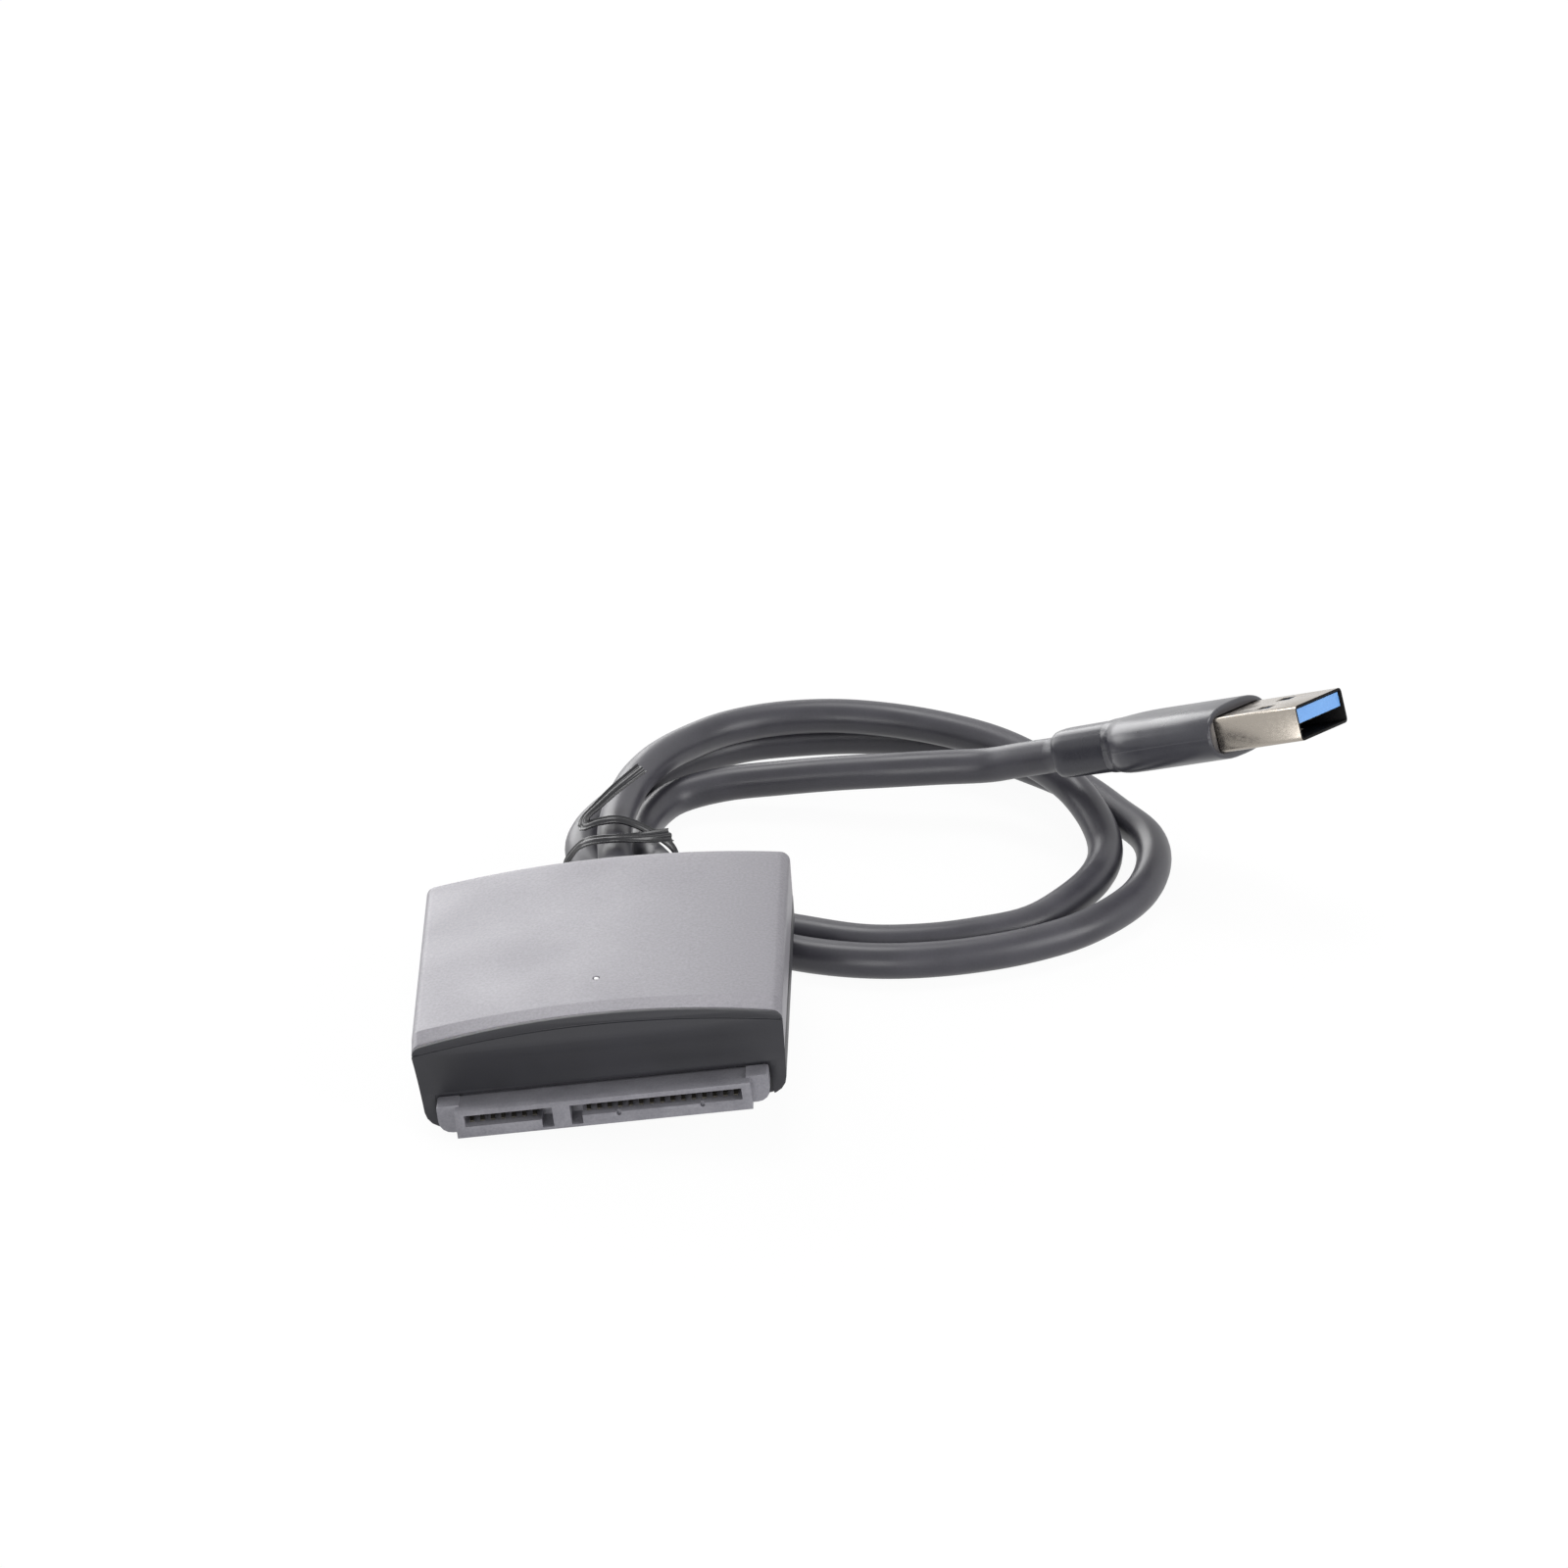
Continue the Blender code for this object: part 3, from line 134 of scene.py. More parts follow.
# Glass-filled nylon: an even mid grey with a dull shine on its edges
greyNylon = mouldedFinish("glass_filled_grey_nylon", {
    "dark": "7c7b82", "light": "929198", "Roughness": 0.42,
    "grain": 0.26, "cloud": 3.0, "fleck": 0.55, "bump": 0.30, "depth": 0.010})
# Extruded PVC jacket: near black with a soft satin sheen
pvcJacket = mouldedFinish("extruded_pvc_jacket", {
    "dark": "34333a", "light": "414047", "Roughness": 0.38,
    "grain": 0.30, "cloud": 6.0, "fleck": 0.30, "bump": 0.20, "depth": 0.015})
# Thermoplastic moulded over the plug: satin, with a fine grain
overmould = mouldedFinish("thermoplastic_overmould", {
    "dark": "33333a", "light": "3f3f46", "Roughness": 0.30,
    "grain": 0.20, "cloud": 5.0, "fleck": 0.35, "bump": 0.25, "depth": 0.012})
# PVC film laminated over a wire: black and shinier than the cable
tieFilm = mouldedFinish("pvc_tie_film", {
    "dark": "16161a", "light": "222226", "Roughness": 0.24,
    "grain": 0.50, "cloud": 3.0, "fleck": 0.20, "bump": 0.12, "depth": 0.010})
# Blue PBT insulator, moulded smooth
bluePbt = mouldedFinish("blue_pbt", {
    "dark": "72acf2", "light": "7eb5f6", "Roughness": 0.40,
    "grain": 0.30, "cloud": 4.0, "fleck": 0.20, "bump": 0.12, "depth": 0.008})
# Green solder mask over glass laminate, whose weave shows faintly
solderMask = mouldedFinish("green_solder_mask", {
    "dark": "134526", "light": "1d5c34", "Roughness": 0.36,
    "grain": 0.60, "cloud": 5.0, "fleck": 0.30, "bump": 0.20, "depth": 0.015})
# Matt mould compound of chips, and the ferrite's sintered grain
chipEpoxy = mouldedFinish("chip_epoxy", {
    "dark": "171719", "light": "242427", "Roughness": 0.55,
    "grain": 0.15, "cloud": 3.0, "fleck": 0.40, "bump": 0.40, "depth": 0.010})
# Fired ceramic of chip capacitors: tan and matt
firedCeramic = mouldedFinish("fired_ceramic", {
    "dark": "98754f", "light": "b3906a", "Roughness": 0.50,
    "grain": 0.20, "cloud": 2.0, "fleck": 0.40, "bump": 0.20, "depth": 0.010})
# Red-brown PVC of the cable's cores
coreInsulation = mouldedFinish("pvc_core_insulation", {
    "dark": "6e2422", "light": "82302c", "Roughness": 0.40,
    "grain": 0.30, "cloud": 3.0, "fleck": 0.30, "bump": 0.15, "depth": 0.010})
# Nickel plate on rolled steel: warm grey, drawn along the sheet
nickelPlate = rolledMetal("nickel_plated_steel", {"dark": "a69f96", "Roughness": 0.24, "Metallic": 1.0})
# The same sheet inside the plug and on the rim's lower and far edges, rough and painted near black: painted shade
paintedShadeSteel = rolledMetal("inner_steel_painted_shade", {"dark": "1e1d1d", "Roughness": 0.60, "Metallic": 1.0})
# Thin gold flash over bronze, its colour darkened to a grey gold: painted shade of the slots
goldFlashPaintedShade = rolledMetal("gold_flash_painted_shade", {"dark": "57544d", "Roughness": 0.42, "Metallic": 1.0})
# Tinned can of the crystal
tinnedCan = rolledMetal("tinned_can", {"dark": "c9c9cb", "Roughness": 0.32, "Metallic": 1.0})
# Clear acrylic rod whose end is frosted: white where it meets the cover
clearAcrylic, _ = newMaterial("frosted_acrylic", {"dark": "ffffff", "Roughness": 0.25})
print("materials made:", len(bpy.data.materials))


def addMesh(name, points, faces):
    mesh = bpy.data.meshes.new(name)
    mesh.from_pydata(np.asarray(points).reshape(-1, 3).tolist(), [], [list(face) for face in faces])
    mesh.shade_smooth()
    piece = bpy.data.objects.new(name, mesh)
    bpy.context.scene.collection.objects.link(piece)
    return piece


def gridFaces(rows, columns, wrap=True):  # quads of a grid whose points are numbered row by row
    i, j = np.meshgrid(np.arange(rows - 1), np.arange(columns if wrap else columns - 1), indexing="ij")
    k = (j + 1) % columns
    quads = np.stack([i * columns + j, i * columns + k, (i + 1) * columns + k, (i + 1) * columns + j], axis=-1)
    return quads.reshape(-1, 4)


def closedLoft(name, rings):  # rows of points round a body, skinned and capped at both ends
    rows, count = rings.shape[:2]
    ends = [list(range(count)), [(rows - 1) * count + k for k in range(count)]]
    piece = addMesh(name, rings, gridFaces(rows, count).tolist() + ends)
    shape = bmesh.new()
    shape.from_mesh(piece.data)
    bmesh.ops.recalc_face_normals(shape, faces=shape.faces)
    for face in shape.faces:
        if len(face.verts) > 4:
            for edge in face.edges:
                edge.smooth = False
    shape.to_mesh(piece.data)
    shape.free()
    return piece


def dress(piece, material, slot, *replaced):  # a new piece's finish, body and the nodes it stands for; slot is not used
    piece.data.materials.clear()
    piece.data.materials.append(material)
    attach(piece, "root")
    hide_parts(*replaced)
    return piece


def smoothRoute(points, perLeg=24):  # Catmull-Rom curve through the points
    p = np.array(points, dtype=float)
    p = np.vstack([2 * p[0] - p[1], p, 2 * p[-1] - p[-2]])
    a, b, c, d = p[:-3, None], p[1:-2, None], p[2:-1, None], p[3:, None]
    t = np.linspace(0.0, 1.0, perLeg, endpoint=False)[None, :, None]
    legs = 0.5 * (2 * b + (c - a) * t + (2 * a - 5 * b + 4 * c - d) * t ** 2 + (3 * b - a - 3 * c + d) * t ** 3)
    return np.vstack([legs.reshape(-1, 3), points[-1]])


def evenly(path, spacing):  # points along a path at one spacing, both ends kept
    along = np.concatenate([[0.0], np.cumsum(np.linalg.norm(np.diff(path, axis=0), axis=1))])
    marks = np.linspace(0.0, along[-1], max(2, round(along[-1] / spacing)) + 1)
    return np.stack([np.interp(marks, along, path[:, k]) for k in range(3)], axis=1)


def sweep(name, path, profile, upwards):  # a closed profile of (across, up) carried along a path
    ahead = np.gradient(path, axis=0)
    ahead /= np.linalg.norm(ahead, axis=1, keepdims=True)
    up = upwards - np.sum(upwards * ahead, axis=1, keepdims=True) * ahead
    up /= np.linalg.norm(up, axis=1, keepdims=True)
    across = np.cross(ahead, up)
    shape = np.broadcast_to(profile, (len(path),) + profile.shape[-2:])
    return closedLoft(name, path[:, None] + shape[..., 0, None] * across[:, None] + shape[..., 1, None] * up[:, None])


def softened(node, name, width, steps=2):  # the node's own shape with its edges rounded over by width
    shape = bmesh.new()
    shape.from_mesh(nodes[node].data)
    bmesh.ops.remove_doubles(shape, verts=shape.verts, dist=1e-6)
    bmesh.ops.dissolve_limit(shape, angle_limit=math.radians(0.5), verts=shape.verts, edges=shape.edges)
    mesh = bpy.data.meshes.new(name)
    shape.to_mesh(mesh)
    shape.free()
    mesh.shade_smooth()
    piece = bpy.data.objects.new(name, mesh)
    bpy.context.scene.collection.objects.link(piece)
    edges = piece.modifiers.new("edges", "BEVEL")
    edges.width, edges.segments, edges.limit_method = width * 0.001, steps, "ANGLE"
    edges.angle_limit = math.radians(30)
    edges.harden_normals = True
    return piece


# The housing's own frame in millimetres: x across, y from the front edge back, z up from the foot; it lies tilted
house = {"width": 45.0, "rearWidth": 45.6, "foot": 43.6, "length": 39.8, "edge": 11.7, "dome": 1.8, "shoulder": 1.3,
         "chamfer": 2.5, "edgeDrop": 0.8, "crownDrop": 0.3, "roll": 7.2, "glandHeight": 6.2, "glandTip": 42.7,
         "faceMiddle": (-5.15, -4.1, 2.5), "seamEdge": 10.0, "seamDome": 1.95,
         "tongueReach": 22.2, "tongueHalf": 0.099, "tongueFront": -0.35, "tongueBack": 0.05,
         "bridgeHalf": 2.98, "bridgeTop": 12.2, "bridgeFront": 38.75, "bridgeBack": 39.65}


def tilt(points):  # turn about the housing's length, and to metres
    p = np.asarray(points, dtype=float)
    c, s = math.cos(math.radians(house["roll"])), math.sin(math.radians(house["roll"]))
    return np.stack([p[..., 0] * c - p[..., 2] * s, p[..., 1], p[..., 0] * s + p[..., 2] * c], axis=-1) * 0.001


faceMount = next(mount for mount in frame["record"]["mounts"] if mount["name"] == "drive_face")
housePlace = np.array(faceMount["pos_m"]) - tilt(house["faceMiddle"])
print("housing placed at", (housePlace * 1000).round(3).tolist())


def houseSize(y):  # half width of top and foot, edge height and dome at each y: a flare, and a chamfer at the front
    ramp = np.clip(1 - y / house["chamfer"], 0, 1)
    flare = 1 + (house["rearWidth"] / house["width"] - 1) * np.maximum(y, 0) / house["length"]
    return (house["width"] / 2 * flare, house["foot"] / 2 * flare, house["edge"] - house["edgeDrop"] * ramp,
            house["dome"] + (house["edgeDrop"] - house["crownDrop"]) * ramp)


def domeHeight(x, y):  # a shallow circular arch between the shoulders
    half, _, edge, dome = houseSize(y)
    bend = (half ** 2 + dome ** 2) / (2 * dome)
    return edge + np.sqrt(bend ** 2 - x ** 2) - bend + dome


def cornerArc(corner, before, after, radius, steps):  # arcs that round the corners of many sections at once
    a = (before - corner) / np.linalg.norm(before - corner, axis=-1, keepdims=True)
    b = (after - corner) / np.linalg.norm(after - corner, axis=-1, keepdims=True)
    half = np.arccos(np.sum(a * b, axis=-1, keepdims=True)) / 2
    centre = corner + (a + b) / np.linalg.norm(a + b, axis=-1, keepdims=True) * radius / np.sin(half)
    first, last = (corner + side * radius / np.tan(half) - centre for side in (a, b))
    t = np.linspace(0, 1, steps + 1)[:, None]
    omega = (np.pi - 2 * half)[:, None]
    fan = np.sin((1 - t) * omega) * first[:, None] + np.sin(t * omega) * last[:, None]
    return centre[:, None] + fan / np.sin(omega)


cover = {"front": 0.16, "frontRound": 0.12, "rearRound": 0.6, "wall": 0.42, "skirt": 5.62, "domeEnd": 20.4,
         "lamp": (0.1, 8.3), "hole": 0.44, "holeReach": 1.7, "pipe": 0.31}


def makeCover():
    # A section (side wall, shoulder arc, arch) carried back from the front edge; its ends are rounded over by
    # drawing the section in. Grid lines round the light window are moved from squares to circles.
    t = np.linspace(0, np.pi / 2, 5)
    frontY = cover["front"] + cover["frontRound"] * (1 - np.cos(t))
    frontIn = cover["frontRound"] * (1 - np.sin(t))
    window = np.array([0.0, 0.11, 0.22, 0.33, 0.44, 0.54, 0.68, 0.9, 1.25, 1.7])
    window = np.concatenate([-window[:0:-1], window])
    middleY = np.concatenate([[0.6, 1.1, 1.6, 2.1, 2.4, 2.5, 2.6, 2.9, 3.6, 4.6, 5.6], window + cover["lamp"][1],
                              np.linspace(11, 38.4, 22)])
    t = np.linspace(0, np.pi / 2, 7)
    rearY = house["length"] - cover["rearRound"] * (1 - np.sin(t))
    rearIn = cover["rearRound"] * (1 - np.cos(t))
    y = np.concatenate([frontY, middleY, rearY])
    inset = np.concatenate([frontIn, np.zeros(len(middleY)), rearIn])
    half, foot, edge, _ = houseSize(y)
    end = cover["domeEnd"]
    x = np.concatenate([np.linspace(-end, -2.6, 20), window + cover["lamp"][0], np.linspace(2.8, end, 20)])

    gridX, gridY = np.meshgrid(x, y)
    dx, dy = gridX - cover["lamp"][0], gridY - cover["lamp"][1]
    square = np.maximum(np.abs(dx), np.abs(dy))
    share = np.clip((cover["holeReach"] - square) / (cover["holeReach"] - cover["hole"]), 0, 1)
    scale = 1 + share * (square / np.maximum(np.hypot(dx, dy), 1e-9) - 1)
    archX, archY = cover["lamp"][0] + dx * scale, cover["lamp"][1] + dy * scale
    arch = np.stack([archX, archY, domeHeight(archX, archY) - inset[:, None]], axis=-1)

    lean = (half - foot) / edge
    low = np.stack([half - (edge - cover["skirt"]) * lean - inset, np.full(len(y), cover["skirt"])], axis=-1)
    corner = np.stack([half - inset, edge - inset], axis=-1)
    inner = np.stack([np.full(len(y), end), domeHeight(end, y) - inset], axis=-1)
    arc = cornerArc(corner, low, inner, (house["shoulder"] - inset)[:, None], 12)
    wall = low[:, None] + (arc[:, :1] - low[:, None]) * np.linspace(0, 1, 7)[:-1][None, :, None]
    side = np.concatenate([wall, arc], axis=1)
    right = np.stack([side[..., 0], np.repeat(y[:, None], side.shape[1], axis=1), side[..., 1]], axis=-1)
    left = right * (-1, 1, 1)
    points = np.concatenate([left, arch, right[:, ::-1]], axis=1)
    rows, columns = points.shape[:2]
    faces = gridFaces(rows, columns, wrap=False)
    outside = np.full((rows, columns), True)
    outside[:, left.shape[1]:left.shape[1] + len(x)] = square > cover["hole"] + 0.001
    kept = outside.reshape(-1)[faces].any(axis=1)
    piece = addMesh("cover_shell", tilt(points) + housePlace, faces[kept].tolist())
    used = bmesh.new()
    used.from_mesh(piece.data)
    bmesh.ops.delete(used, geom=[v for v in used.verts if not v.link_faces], context="VERTS")
    used.to_mesh(piece.data)
    used.free()
    skin = piece.modifiers.new("wall", "SOLIDIFY")
    skin.thickness, skin.offset, skin.use_even_offset = cover["wall"] * 0.001, -1.0, True
    return dress(piece, silverLacquer, "silver_cover_paint", "top_cover")


def makeLightPipe():  # the rod's frosted end stands in the cover's round window, its rim rounded over
    x, y = cover["lamp"]
    top = float(domeHeight(x, y))
    radius = np.array([1.0, 1.0, 0.97, 0.86, 0.6, 0.2])[:, None] * cover["pipe"]
    height = top + np.array([-3.0, -0.12, -0.07, -0.03, -0.01, 0.0])[:, None]
    angle = np.linspace(0, 2 * np.pi, 24, endpoint=False)[None]
    rings = np.stack([x + radius * np.cos(angle), y + radius * np.sin(angle), height + 0 * angle], axis=-1)
    return dress(closedLoft("light_window", tilt(rings) + housePlace), clearAcrylic, "clear_plastic", "light_pipe")


def makeSeamTongue():
    # A low arch of the case behind the seam, so that the seam is a shallow groove and not an open gap:
    # an upright ribbon along z = edge + sqrt(r^2 - x^2) - r + dome
    reach, edge, dome, half, y0, y1 = (house[key] for key in ("tongueReach", "seamEdge", "seamDome", "tongueHalf",
                                                              "tongueFront", "tongueBack"))
    count = 61
    x = np.linspace(-reach, reach, count)
    bend = ((house["width"] / 2) ** 2 + dome ** 2) / (2 * dome)
    z = edge + np.sqrt(bend ** 2 - x ** 2) - bend + dome
    corners = np.array([(y0, -half), (y0, half), (y1, half), (y1, -half)])
    rings = np.stack([np.repeat(x[:, None], 4, axis=1), np.tile(corners[:, 0], (count, 1)),
                      z[:, None] + corners[None, :, 1]], axis=-1)
    return dress(closedLoft("seam_tongue", tilt(rings) + housePlace), blackAbs, "dark_case_plastic")


def makeGlandBridge():  # the lid's tab that closes the notch over the cable's gland, its foot curved to the gland
    half, foot, top, y0, y1 = (house[key] for key in ("bridgeHalf", "glandHeight", "bridgeTop", "bridgeFront",
                                                      "bridgeBack"))
    arc = np.linspace(0, np.pi, 17)
    curve = np.stack([half * np.cos(arc), foot + half * np.sin(arc)], axis=1)
    outline = np.vstack([curve, [(-half, top), (half, top)]])
    rings = np.stack([np.column_stack([outline[:, 0], np.full(len(outline), y), outline[:, 1]])
                      for y in (y0, y1)])
    return dress(closedLoft("gland_bridge", tilt(rings) + housePlace), blackAbs, "dark_case_plastic")


cable = {"diameter": 4.5, "sides": 32, "step": 1.2}
cableRoute = [  # millimetres, from the gland to the plug's boot
    (0.4, 23.8, 8.65), (0.3, 29.4, 8.85), (0.0, 35.4, 9.0), (-0.2, 41.8, 9.1),
    (0.5, 48.7, 8.8), (1.9, 55.9, 8.4), (4.5, 62.9, 7.8), (8.1, 68.9, 7.1),
    (13.1, 73.9, 6.8), (19.5, 76.9, 6.7), (27.0, 78.1, 6.6), (34.5, 77.4, 6.4),
    (41.7, 75.0, 6.3), (48.2, 71.1, 6.3), (53.6, 65.9, 6.1), (57.9, 60.6, 5.3),
    (60.9, 54.8, 3.7), (62.0, 48.9, 2.5), (60.8, 42.1, 2.4), (57.3, 35.3, 2.4),
    (52.2, 29.1, 2.4), (45.7, 26.0, 2.4), (38.8, 24.15, 2.4), (31.2, 23.9, 2.4),
    (23.0, 26.3, 2.4), (16.7, 28.6, 2.4), (11.1, 30.6, 2.4), (5.7, 32.4, 2.5),
    (0.7, 35.2, 2.9), (-3.0, 39.6, 3.4), (-4.6, 45.5, 3.5), (-4.0, 51.1, 3.4),
    (-1.9, 56.7, 3.2), (1.4, 62.6, 3.0), (5.4, 69.1, 2.8), (10.3, 74.5, 2.5),
    (15.8, 77.9, 2.4), (22.7, 79.6, 2.4), (30.1, 80.4, 2.4), (38.1, 79.8, 2.4),
    (45.6, 77.3, 2.4), (52.5, 72.4, 2.4), (58.8, 66.5, 2.4), (63.6, 59.2, 2.4),
    (67.4, 52.5, 2.4), (68.0, 44.7, 2.4), (65.5, 36.1, 2.4), (59.5, 28.4, 2.4),
    (52.5, 23.6, 2.4), (44.7, 20.5, 2.4), (36.7, 19.0, 2.4), (29.5, 19.2, 2.4),
    (22.5, 21.0, 2.4), (17.7, 22.9, 3.0), (13.5, 25.2, 4.7), (9.6, 28.2, 6.7),
    (6.6, 31.9, 7.4), (4.8, 36.4, 6.8), (3.6, 41.3, 5.3), (3.0, 46.4, 3.5),
    (2.6, 52.0, 2.5), (3.9, 57.6, 2.4), (7.0, 62.3, 2.7), (13.0, 64.2, 3.6),
    (20.2, 64.3, 4.5), (27.3, 63.8, 5.5), (34.5, 63.1, 6.4), (40.8, 63.0, 6.9),
    (47.0, 62.2, 7.7), (51.1, 60.2, 9.5), (55.2, 58.1, 11.3),
]


def makeCable():  # a round tube on the smooth route that starts at the gland's tip
    exitPoint = tilt([(0.0, house["glandTip"], house["glandHeight"])]) + housePlace
    path = evenly(np.vstack([exitPoint, smoothRoute(np.array(cableRoute) * 0.001)]), cable["step"] * 0.001)
    angle = np.linspace(0, 2 * np.pi, cable["sides"], endpoint=False)
    profile = np.stack([np.cos(angle), np.sin(angle)], axis=1) * cable["diameter"] * 0.0005
    piece = sweep("cable", path, profile, np.tile((0.0, 0.0, 1.0), (len(path), 1)))
    return dress(piece, pvcJacket, "cable_jacket", "usb_cord"), path


tie = {"bundleHeight": 6.0, "step": 0.5,
       "face": [(0.95, 0.12), (0.93, 0.22), (0.85, 0.20), (0.74, 0.06), (0.56, 0.0), (0.38, 0.04), (0.28, 0.18),
                (0.15, 0.29), (0.0, 0.33)], "back": [(0.95, 0.06), (0.80, -0.10), (0.50, -0.18), (0.0, -0.26)]}
tieRoute = [  # millimetres, free end to free end
    (6.9, 36.5, 10.6), (3.5, 33.9, 11.5), (-0.2, 32.6, 12.0), (-3.5, 33.7, 10.9),
    (-5.2, 35.5, 8.6), (-6.5, 36.8, 5.4), (-6.0, 38.0, 1.6), (-2.6, 38.6, 0.45),
    (1.6, 38.6, 0.9), (5.7, 38.6, 2.3), (7.7, 38.4, 5.0), (7.0, 38.2, 8.0),
    (3.8, 37.9, 10.6), (0.6, 37.5, 12.1), (-2.0, 37.4, 11.9), (-3.8, 38.0, 11.0),
    (-3.8, 39.3, 11.5), (-2.3, 40.7, 12.5), (0.0, 42.8, 13.9), (3.1, 45.5, 15.4),
]


def makeTie():  # a film with turned-up edges and a wire ridge along its middle, its face away from the bundle
    path = evenly(smoothRoute(np.array(tieRoute) * 0.001), tie["step"] * 0.001)
    face, back = np.array(tie["face"]), np.array(tie["back"])
    profile = np.vstack([face, face[-2::-1] * (-1, 1), back * (-1, 1), back[-2::-1]]) * 0.001
    away = np.stack([path[:, 0], np.zeros(len(path)), path[:, 2] - tie["bundleHeight"] * 0.001], axis=1)
    return dress(sweep("tie_ribbon", path, profile, away), tieFilm, "tie_plastic", "twist_tie")


# The plug's own frame in millimetres: x toward the tip, y across, z up from the axis
plug = {"yaw": -27.4, "pitch": 21.7, "roll": -11.5, "gap": 0.25, "bootLength": 9.2, "collarEnd": 0.97,
        "shell": (12.0, 4.5, 0.3), "seam": 0.025, "seamWidth": 0.06,
        "shellEdge": 0.12, "innerShare": 0.7, "rimDepth": 0.02}
bootRows = [  # distance, half width, half height, squareness; a collar as thick as the cable, then the boot
    (-0.95, 2.10, 2.10, 2.0), (-0.90, 2.20, 2.20, 2.0), (-0.50, 2.26, 2.26, 2.0), (0.90, 2.27, 2.27, 2.0),
    (1.00, 2.33, 2.36, 2.2),
    (1.03, 2.58, 2.62, 2.5), (1.16, 2.82, 2.84, 2.7), (1.45, 3.00, 3.00, 2.8), (2.00, 3.10, 3.08, 2.9),
    (3.00, 3.15, 3.12, 3.0), (6.00, 3.22, 3.16, 3.0), (9.20, 3.30, 3.20, 3.0)]
gripRows = [  # the shoulder grows out of the boot; the last rows turn in to the pocket that holds the shell
    (-0.55, 3.10, 3.00, 3.0), (-0.45, 3.30, 3.20, 3.0), (-0.36, 3.39, 3.28, 3.0), (-0.15, 3.47, 3.32, 3.0),
    (0.40, 3.64, 3.34, 3.0), (0.90, 4.00, 3.36, 2.9),
    (1.50, 4.85, 3.40, 2.8), (2.20, 5.80, 3.46, 2.7), (3.10, 6.65, 3.51, 2.7), (4.30, 7.30, 3.54, 2.7),
    (6.00, 7.66, 3.55, 2.7), (8.00, 7.75, 3.55, 2.7), (13.0, 7.75, 3.55, 2.7), (18.0, 7.75, 3.55, 2.7),
    (18.25, 7.70, 3.50, 2.7), (18.37, 7.58, 3.38, 2.7), (18.40, 7.42, 3.22, 2.7), (18.40, 6.20, 2.45, 9.0),
    (18.36, 6.12, 2.37, 9.0), (18.20, 6.10, 2.35, 9.0), (15.0, 6.10, 2.35, 9.0)]


def plugAxes():  # columns are the plug's x, y and z in the shared frame
    yaw, pitch, roll = (math.radians(plug[key]) for key in ("yaw", "pitch", "roll"))
    turnZ = np.array([(math.cos(yaw), -math.sin(yaw), 0), (math.sin(yaw), math.cos(yaw), 0), (0, 0, 1)])
    turnY = np.array([(math.cos(pitch), 0, -math.sin(pitch)), (0, 1, 0), (math.sin(pitch), 0, math.cos(pitch))])
    turnX = np.array([(1, 0, 0), (0, math.cos(roll), -math.sin(roll)), (0, math.sin(roll), math.cos(roll))])
    return turnZ @ turnY @ turnX


def makeMoulding(name, rows, start, node):
    # Superellipse rings |y/a|^n + |z/b|^n = 1 along the plug, with the mould's seam as a fine ridge at mid height
    x, a, b, n = (np.array(column)[:, None] for column in zip(*rows))
    quarter = np.concatenate([[0.0, 0.0006, 0.0016, 0.004, 0.012, 0.04], np.linspace(0.10, np.pi / 2, 11)])
    angle = np.concatenate([quarter, np.pi - quarter[-2::-1]])
    angle = np.concatenate([angle, -angle[-2:0:-1]])[None]
    y = np.sign(np.cos(angle)) * np.abs(np.cos(angle)) ** (2 / n) * a
    z = np.sign(np.sin(angle)) * np.abs(np.sin(angle)) ** (2 / n) * b
    seamed = (n < 8) & (node == "plug_grip")
    y = y + seamed * np.sign(y) * plug["seam"] * np.exp(-(z / plug["seamWidth"]) ** 2)
    local = np.stack([np.broadcast_to(x + start, y.shape), y, z], axis=-1)
    rings = local @ plugAxes().T * 0.001 + np.array(cableRoute[-1]) * 0.001
    piece = dress(closedLoft(name, rings), overmould, "grip_plastic", node)
    if node == "plug_boot":  # the collar is the cable's own jacket
        piece.data.materials.append(pvcJacket)
        middle = np.array([tuple(polygon.center) for polygon in piece.data.polygons])
        local = (middle * 1000 - np.array(cableRoute[-1])) @ plugAxes()
        piece.data.polygons.foreach_set("material_index", (local[:, 0] < start + plug["collarEnd"]).astype(np.int32))
    return piece


def makeShell():  # the drawn sheet round the tip: plated outside, painted near black inside as painted shade
    piece = dress(softened("usb_shell", "plug_shell", plug["shellEdge"]), nickelPlate, "plated_steel", "usb_shell")
    piece.data.materials.append(paintedShadeSteel)
    width, height, wall = plug["shell"]
    middle = np.array([tuple(polygon.center) for polygon in piece.data.polygons])
    local = (middle * 1000 - np.array(cableRoute[-1])) @ plugAxes()
    depth = wall * plug["innerShare"]
    # the inside faces take the near-black steel: painted shade
    inner = (np.abs(local[:, 1]) < width / 2 - depth) & (np.abs(local[:, 2]) < height / 2 - depth)
    # the rim's top and near side catch the light as the plated face does, the rest of it is painted near black:
    # painted shade
    rim = local[:, 0] > local[:, 0].max() - plug["rimDepth"]
    rim &= (local[:, 1] > wall - width / 2) & (local[:, 2] < height / 2 - wall)
    piece.data.polygons.foreach_set("material_index", (inner | rim).astype(np.int32))
    return piece


def carryOver():  # the nodes that keep the CAD shape, each with its finish
    finishes = {"circuit_board": solderMask, "bridge_chip": chipEpoxy, "voltage_regulator": chipEpoxy,
                "power_inductor": chipEpoxy, "crystal": tinnedCan, "status_led": clearAcrylic,
                "cable_gland": pvcJacket, "usb_tongue": bluePbt}
    for name, node in nodes.items():
        if "contact" in name:
            # the contacts take the gold darkened to grey: painted shade
            finishes[name] = goldFlashPaintedShade
        elif name.startswith("capacitor"):
            finishes[name] = firedCeramic
        elif name.endswith("_core"):
            finishes[name] = coreInsulation
        if name in finishes:
            node.data.materials.clear()
            node.data.materials.append(finishes[name])


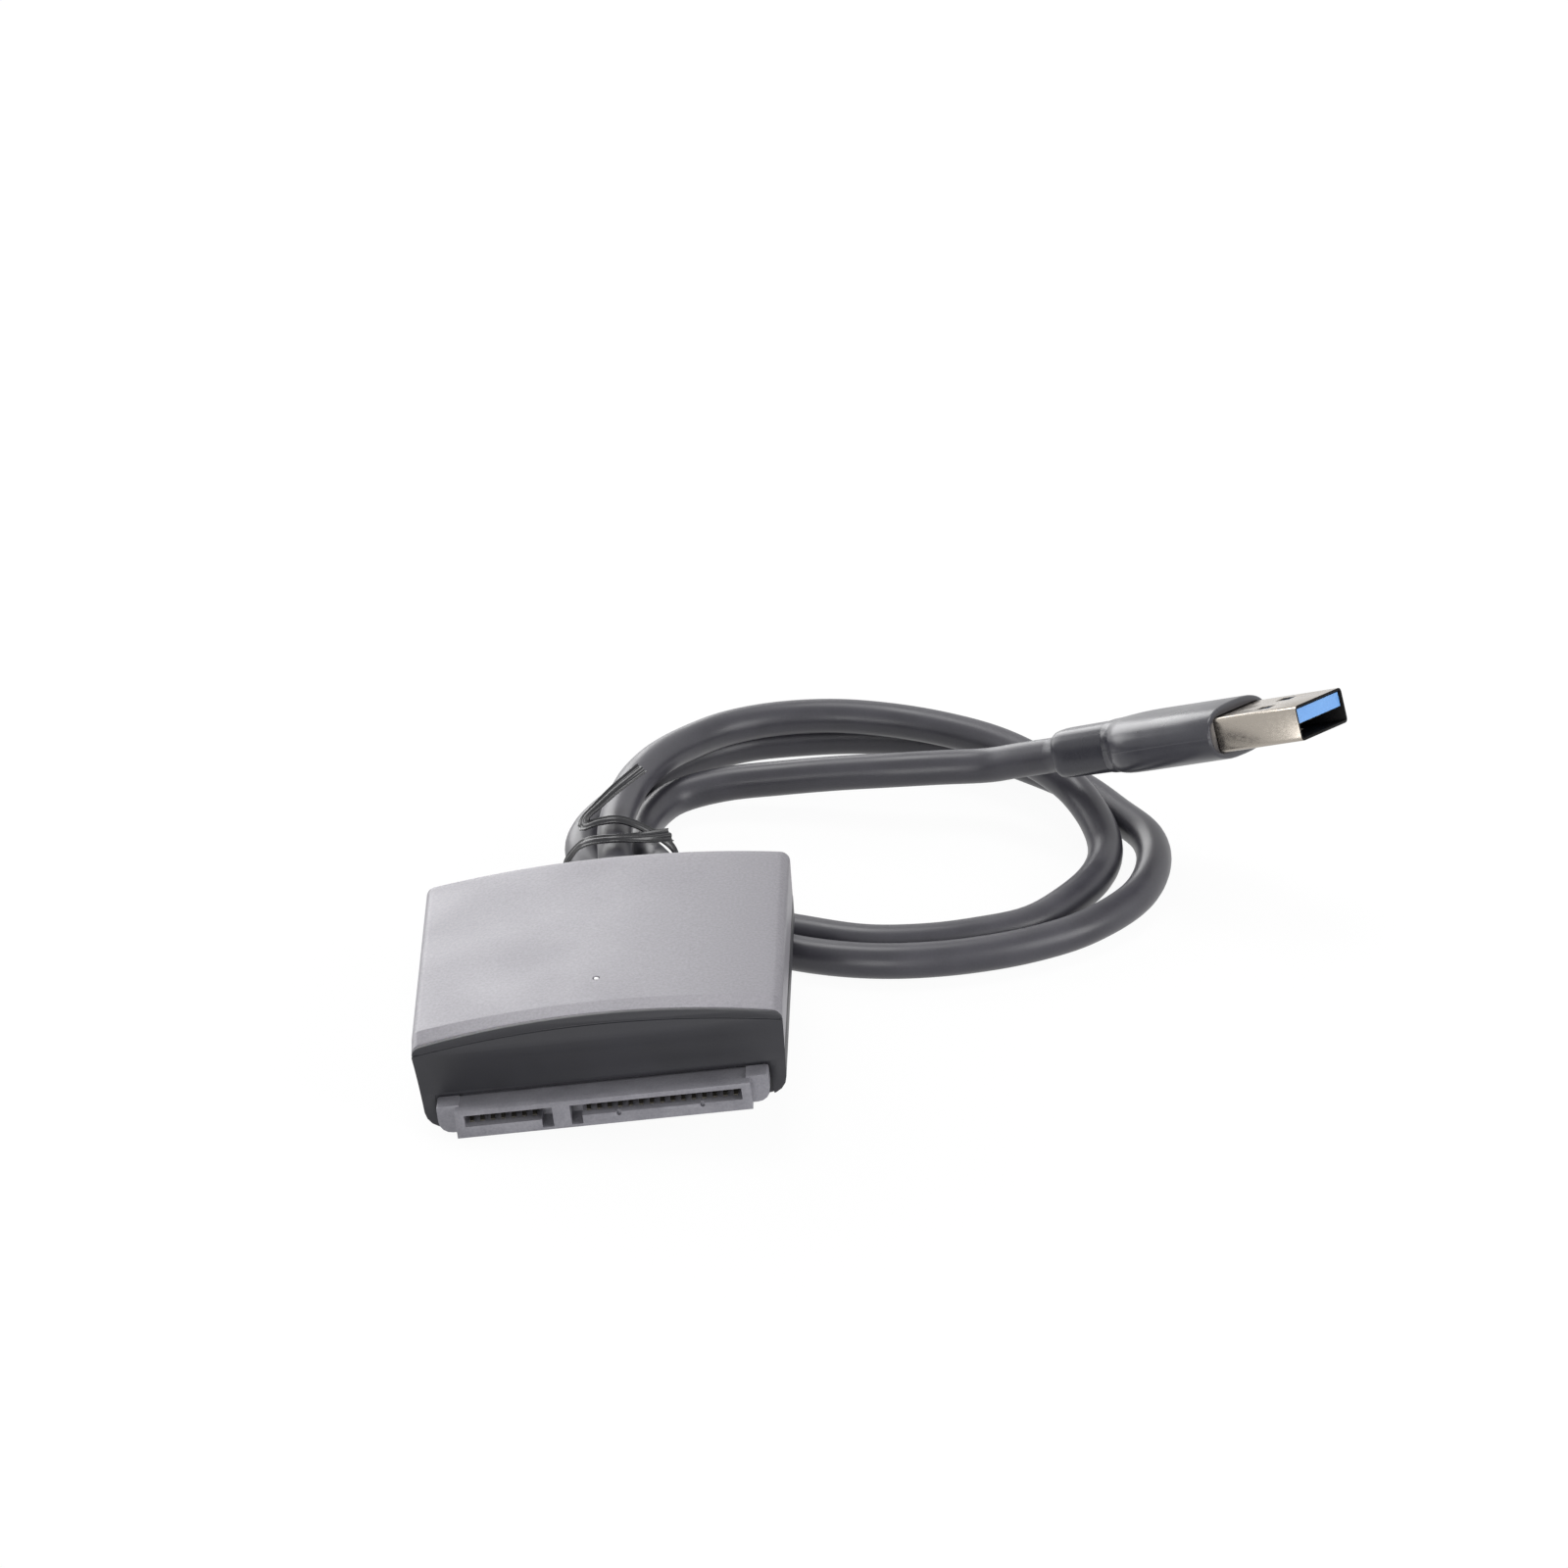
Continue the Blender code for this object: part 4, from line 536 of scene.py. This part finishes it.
cablePiece, cablePath = makeCable()
tieRibbon = makeTie()
makeCover()
makeLightPipe()
makeSeamTongue()
makeGlandBridge()
softCopies = (("case_lid", "lid_shell", 0.05, blackAbs, "dark_case_plastic"),
              ("lower_case", "case_tub", 0.05, blackAbs, "dark_case_plastic"),
              ("sata_receptacle", "drive_receptacle", 0.09, greyNylon, "receptacle_plastic"))
for node, name, width, material, slot in softCopies:  # width is the bevel in millimetres
    dress(softened(node, name, width), material, slot, node)
bootStart = 2 * plug["gap"]
gripStart = bootStart + plug["bootLength"] + plug["gap"]
plugPieces = [makeMoulding("boot_moulding", bootRows, bootStart, "plug_boot"),
              makeMoulding("grip_moulding", gripRows, gripStart, "plug_grip"), makeShell()]
carryOver()
print("pieces made and dressed")

# Soft boxes round the table, each with its place in metres, watts and size in metres; aim is what they face
studio = {"world": 0.34, "floorGlow": 0.86, "glow": 1.1, "floorTone": "a8a8a8",
          "floorHalf": 4.0, "floorDrop": 0.00002, "aim": (0.03, 0.02, 0.0),
          "lamps": {"key": ((-0.10, 0.42, 0.95), 3.4, 0.4), "rear": ((-0.36, 0.92, 0.30), 4.4, 0.6),
                    "left": ((-0.85, 0.45, 0.25), 4.2, 0.6), "fill": ((-0.20, -1.22, 0.22), 7.0, 0.7),
                    "side": ((0.95, -0.40, 0.42), 5.6, 0.6)}}


def addLamp(name, place, watts, size):  # a soft box that faces the adapter
    lamp = bpy.data.objects.new(name, bpy.data.lights.new(name, "AREA"))
    lamp.data.shape, lamp.data.size, lamp.data.energy = "SQUARE", size, watts
    lamp.location = place
    lamp.rotation_euler = (Vector(studio["aim"]) - Vector(place)).to_track_quat("-Z", "Y").to_euler()
    bpy.context.scene.collection.objects.link(lamp)


def shownRays(owner):  # 1 for what the camera sees, directly or in gloss and glass
    path = addNode(owner, "ShaderNodeLightPath")
    direct = addNode(owner, "ShaderNodeMath", None, {0: path.outputs["Is Camera Ray"],
                     1: path.outputs["Is Glossy Ray"]}, operation="MAXIMUM")
    return addNode(owner, "ShaderNodeMath", None, {0: direct.outputs[0],
                   1: path.outputs["Is Transmission Ray"]}, operation="MAXIMUM").outputs[0]


def makeFloor():  # a pale table: white to the eye, with the adapter's soft shadow left on it
    half, drop = studio["floorHalf"], studio["floorDrop"]
    corners = [(-half, -half, -drop), (half, -half, -drop), (half, half, -drop), (-half, half, -drop)]
    floor = addMesh("floor", corners, [(0, 1, 2, 3)])
    material, shader = newMaterial("white_paper_sweep", {"dark": studio["floorTone"], "Roughness": 0.9})
    share = addNode(material, "ShaderNodeMath", {1: studio["floorGlow"]}, {0: shownRays(material)},
                    operation="MULTIPLY")
    glow = addNode(material, "ShaderNodeEmission", {"Color": (1, 1, 1, 1), "Strength": studio["glow"]})
    mix = addNode(material, "ShaderNodeMixShader", None, {0: share.outputs[0], 1: shader.outputs[0],
                  2: glow.outputs[0]})
    material.node_tree.links.new(mix.outputs[0], material.node_tree.nodes["Material Output"].inputs["Surface"])
    floor.data.materials.append(material)


def makeWorld():
    world = bpy.data.worlds.new("studio")
    bpy.context.scene.world = world
    world.use_nodes = True
    background = world.node_tree.nodes["Background"]
    background.inputs["Color"].default_value = (1, 1, 1, 1)
    strength = addNode(world, "ShaderNodeMapRange", {"To Min": studio["world"], "To Max": 1.0},
                       {"Value": shownRays(world)})
    world.node_tree.links.new(strength.outputs["Result"], background.inputs["Strength"])


for name, (place, watts, size) in studio["lamps"].items():
    addLamp(name + "_lamp", place, watts, size)
makeFloor()
makeWorld()
bpy.context.scene.view_settings.view_transform = "Standard"
print("stage set")
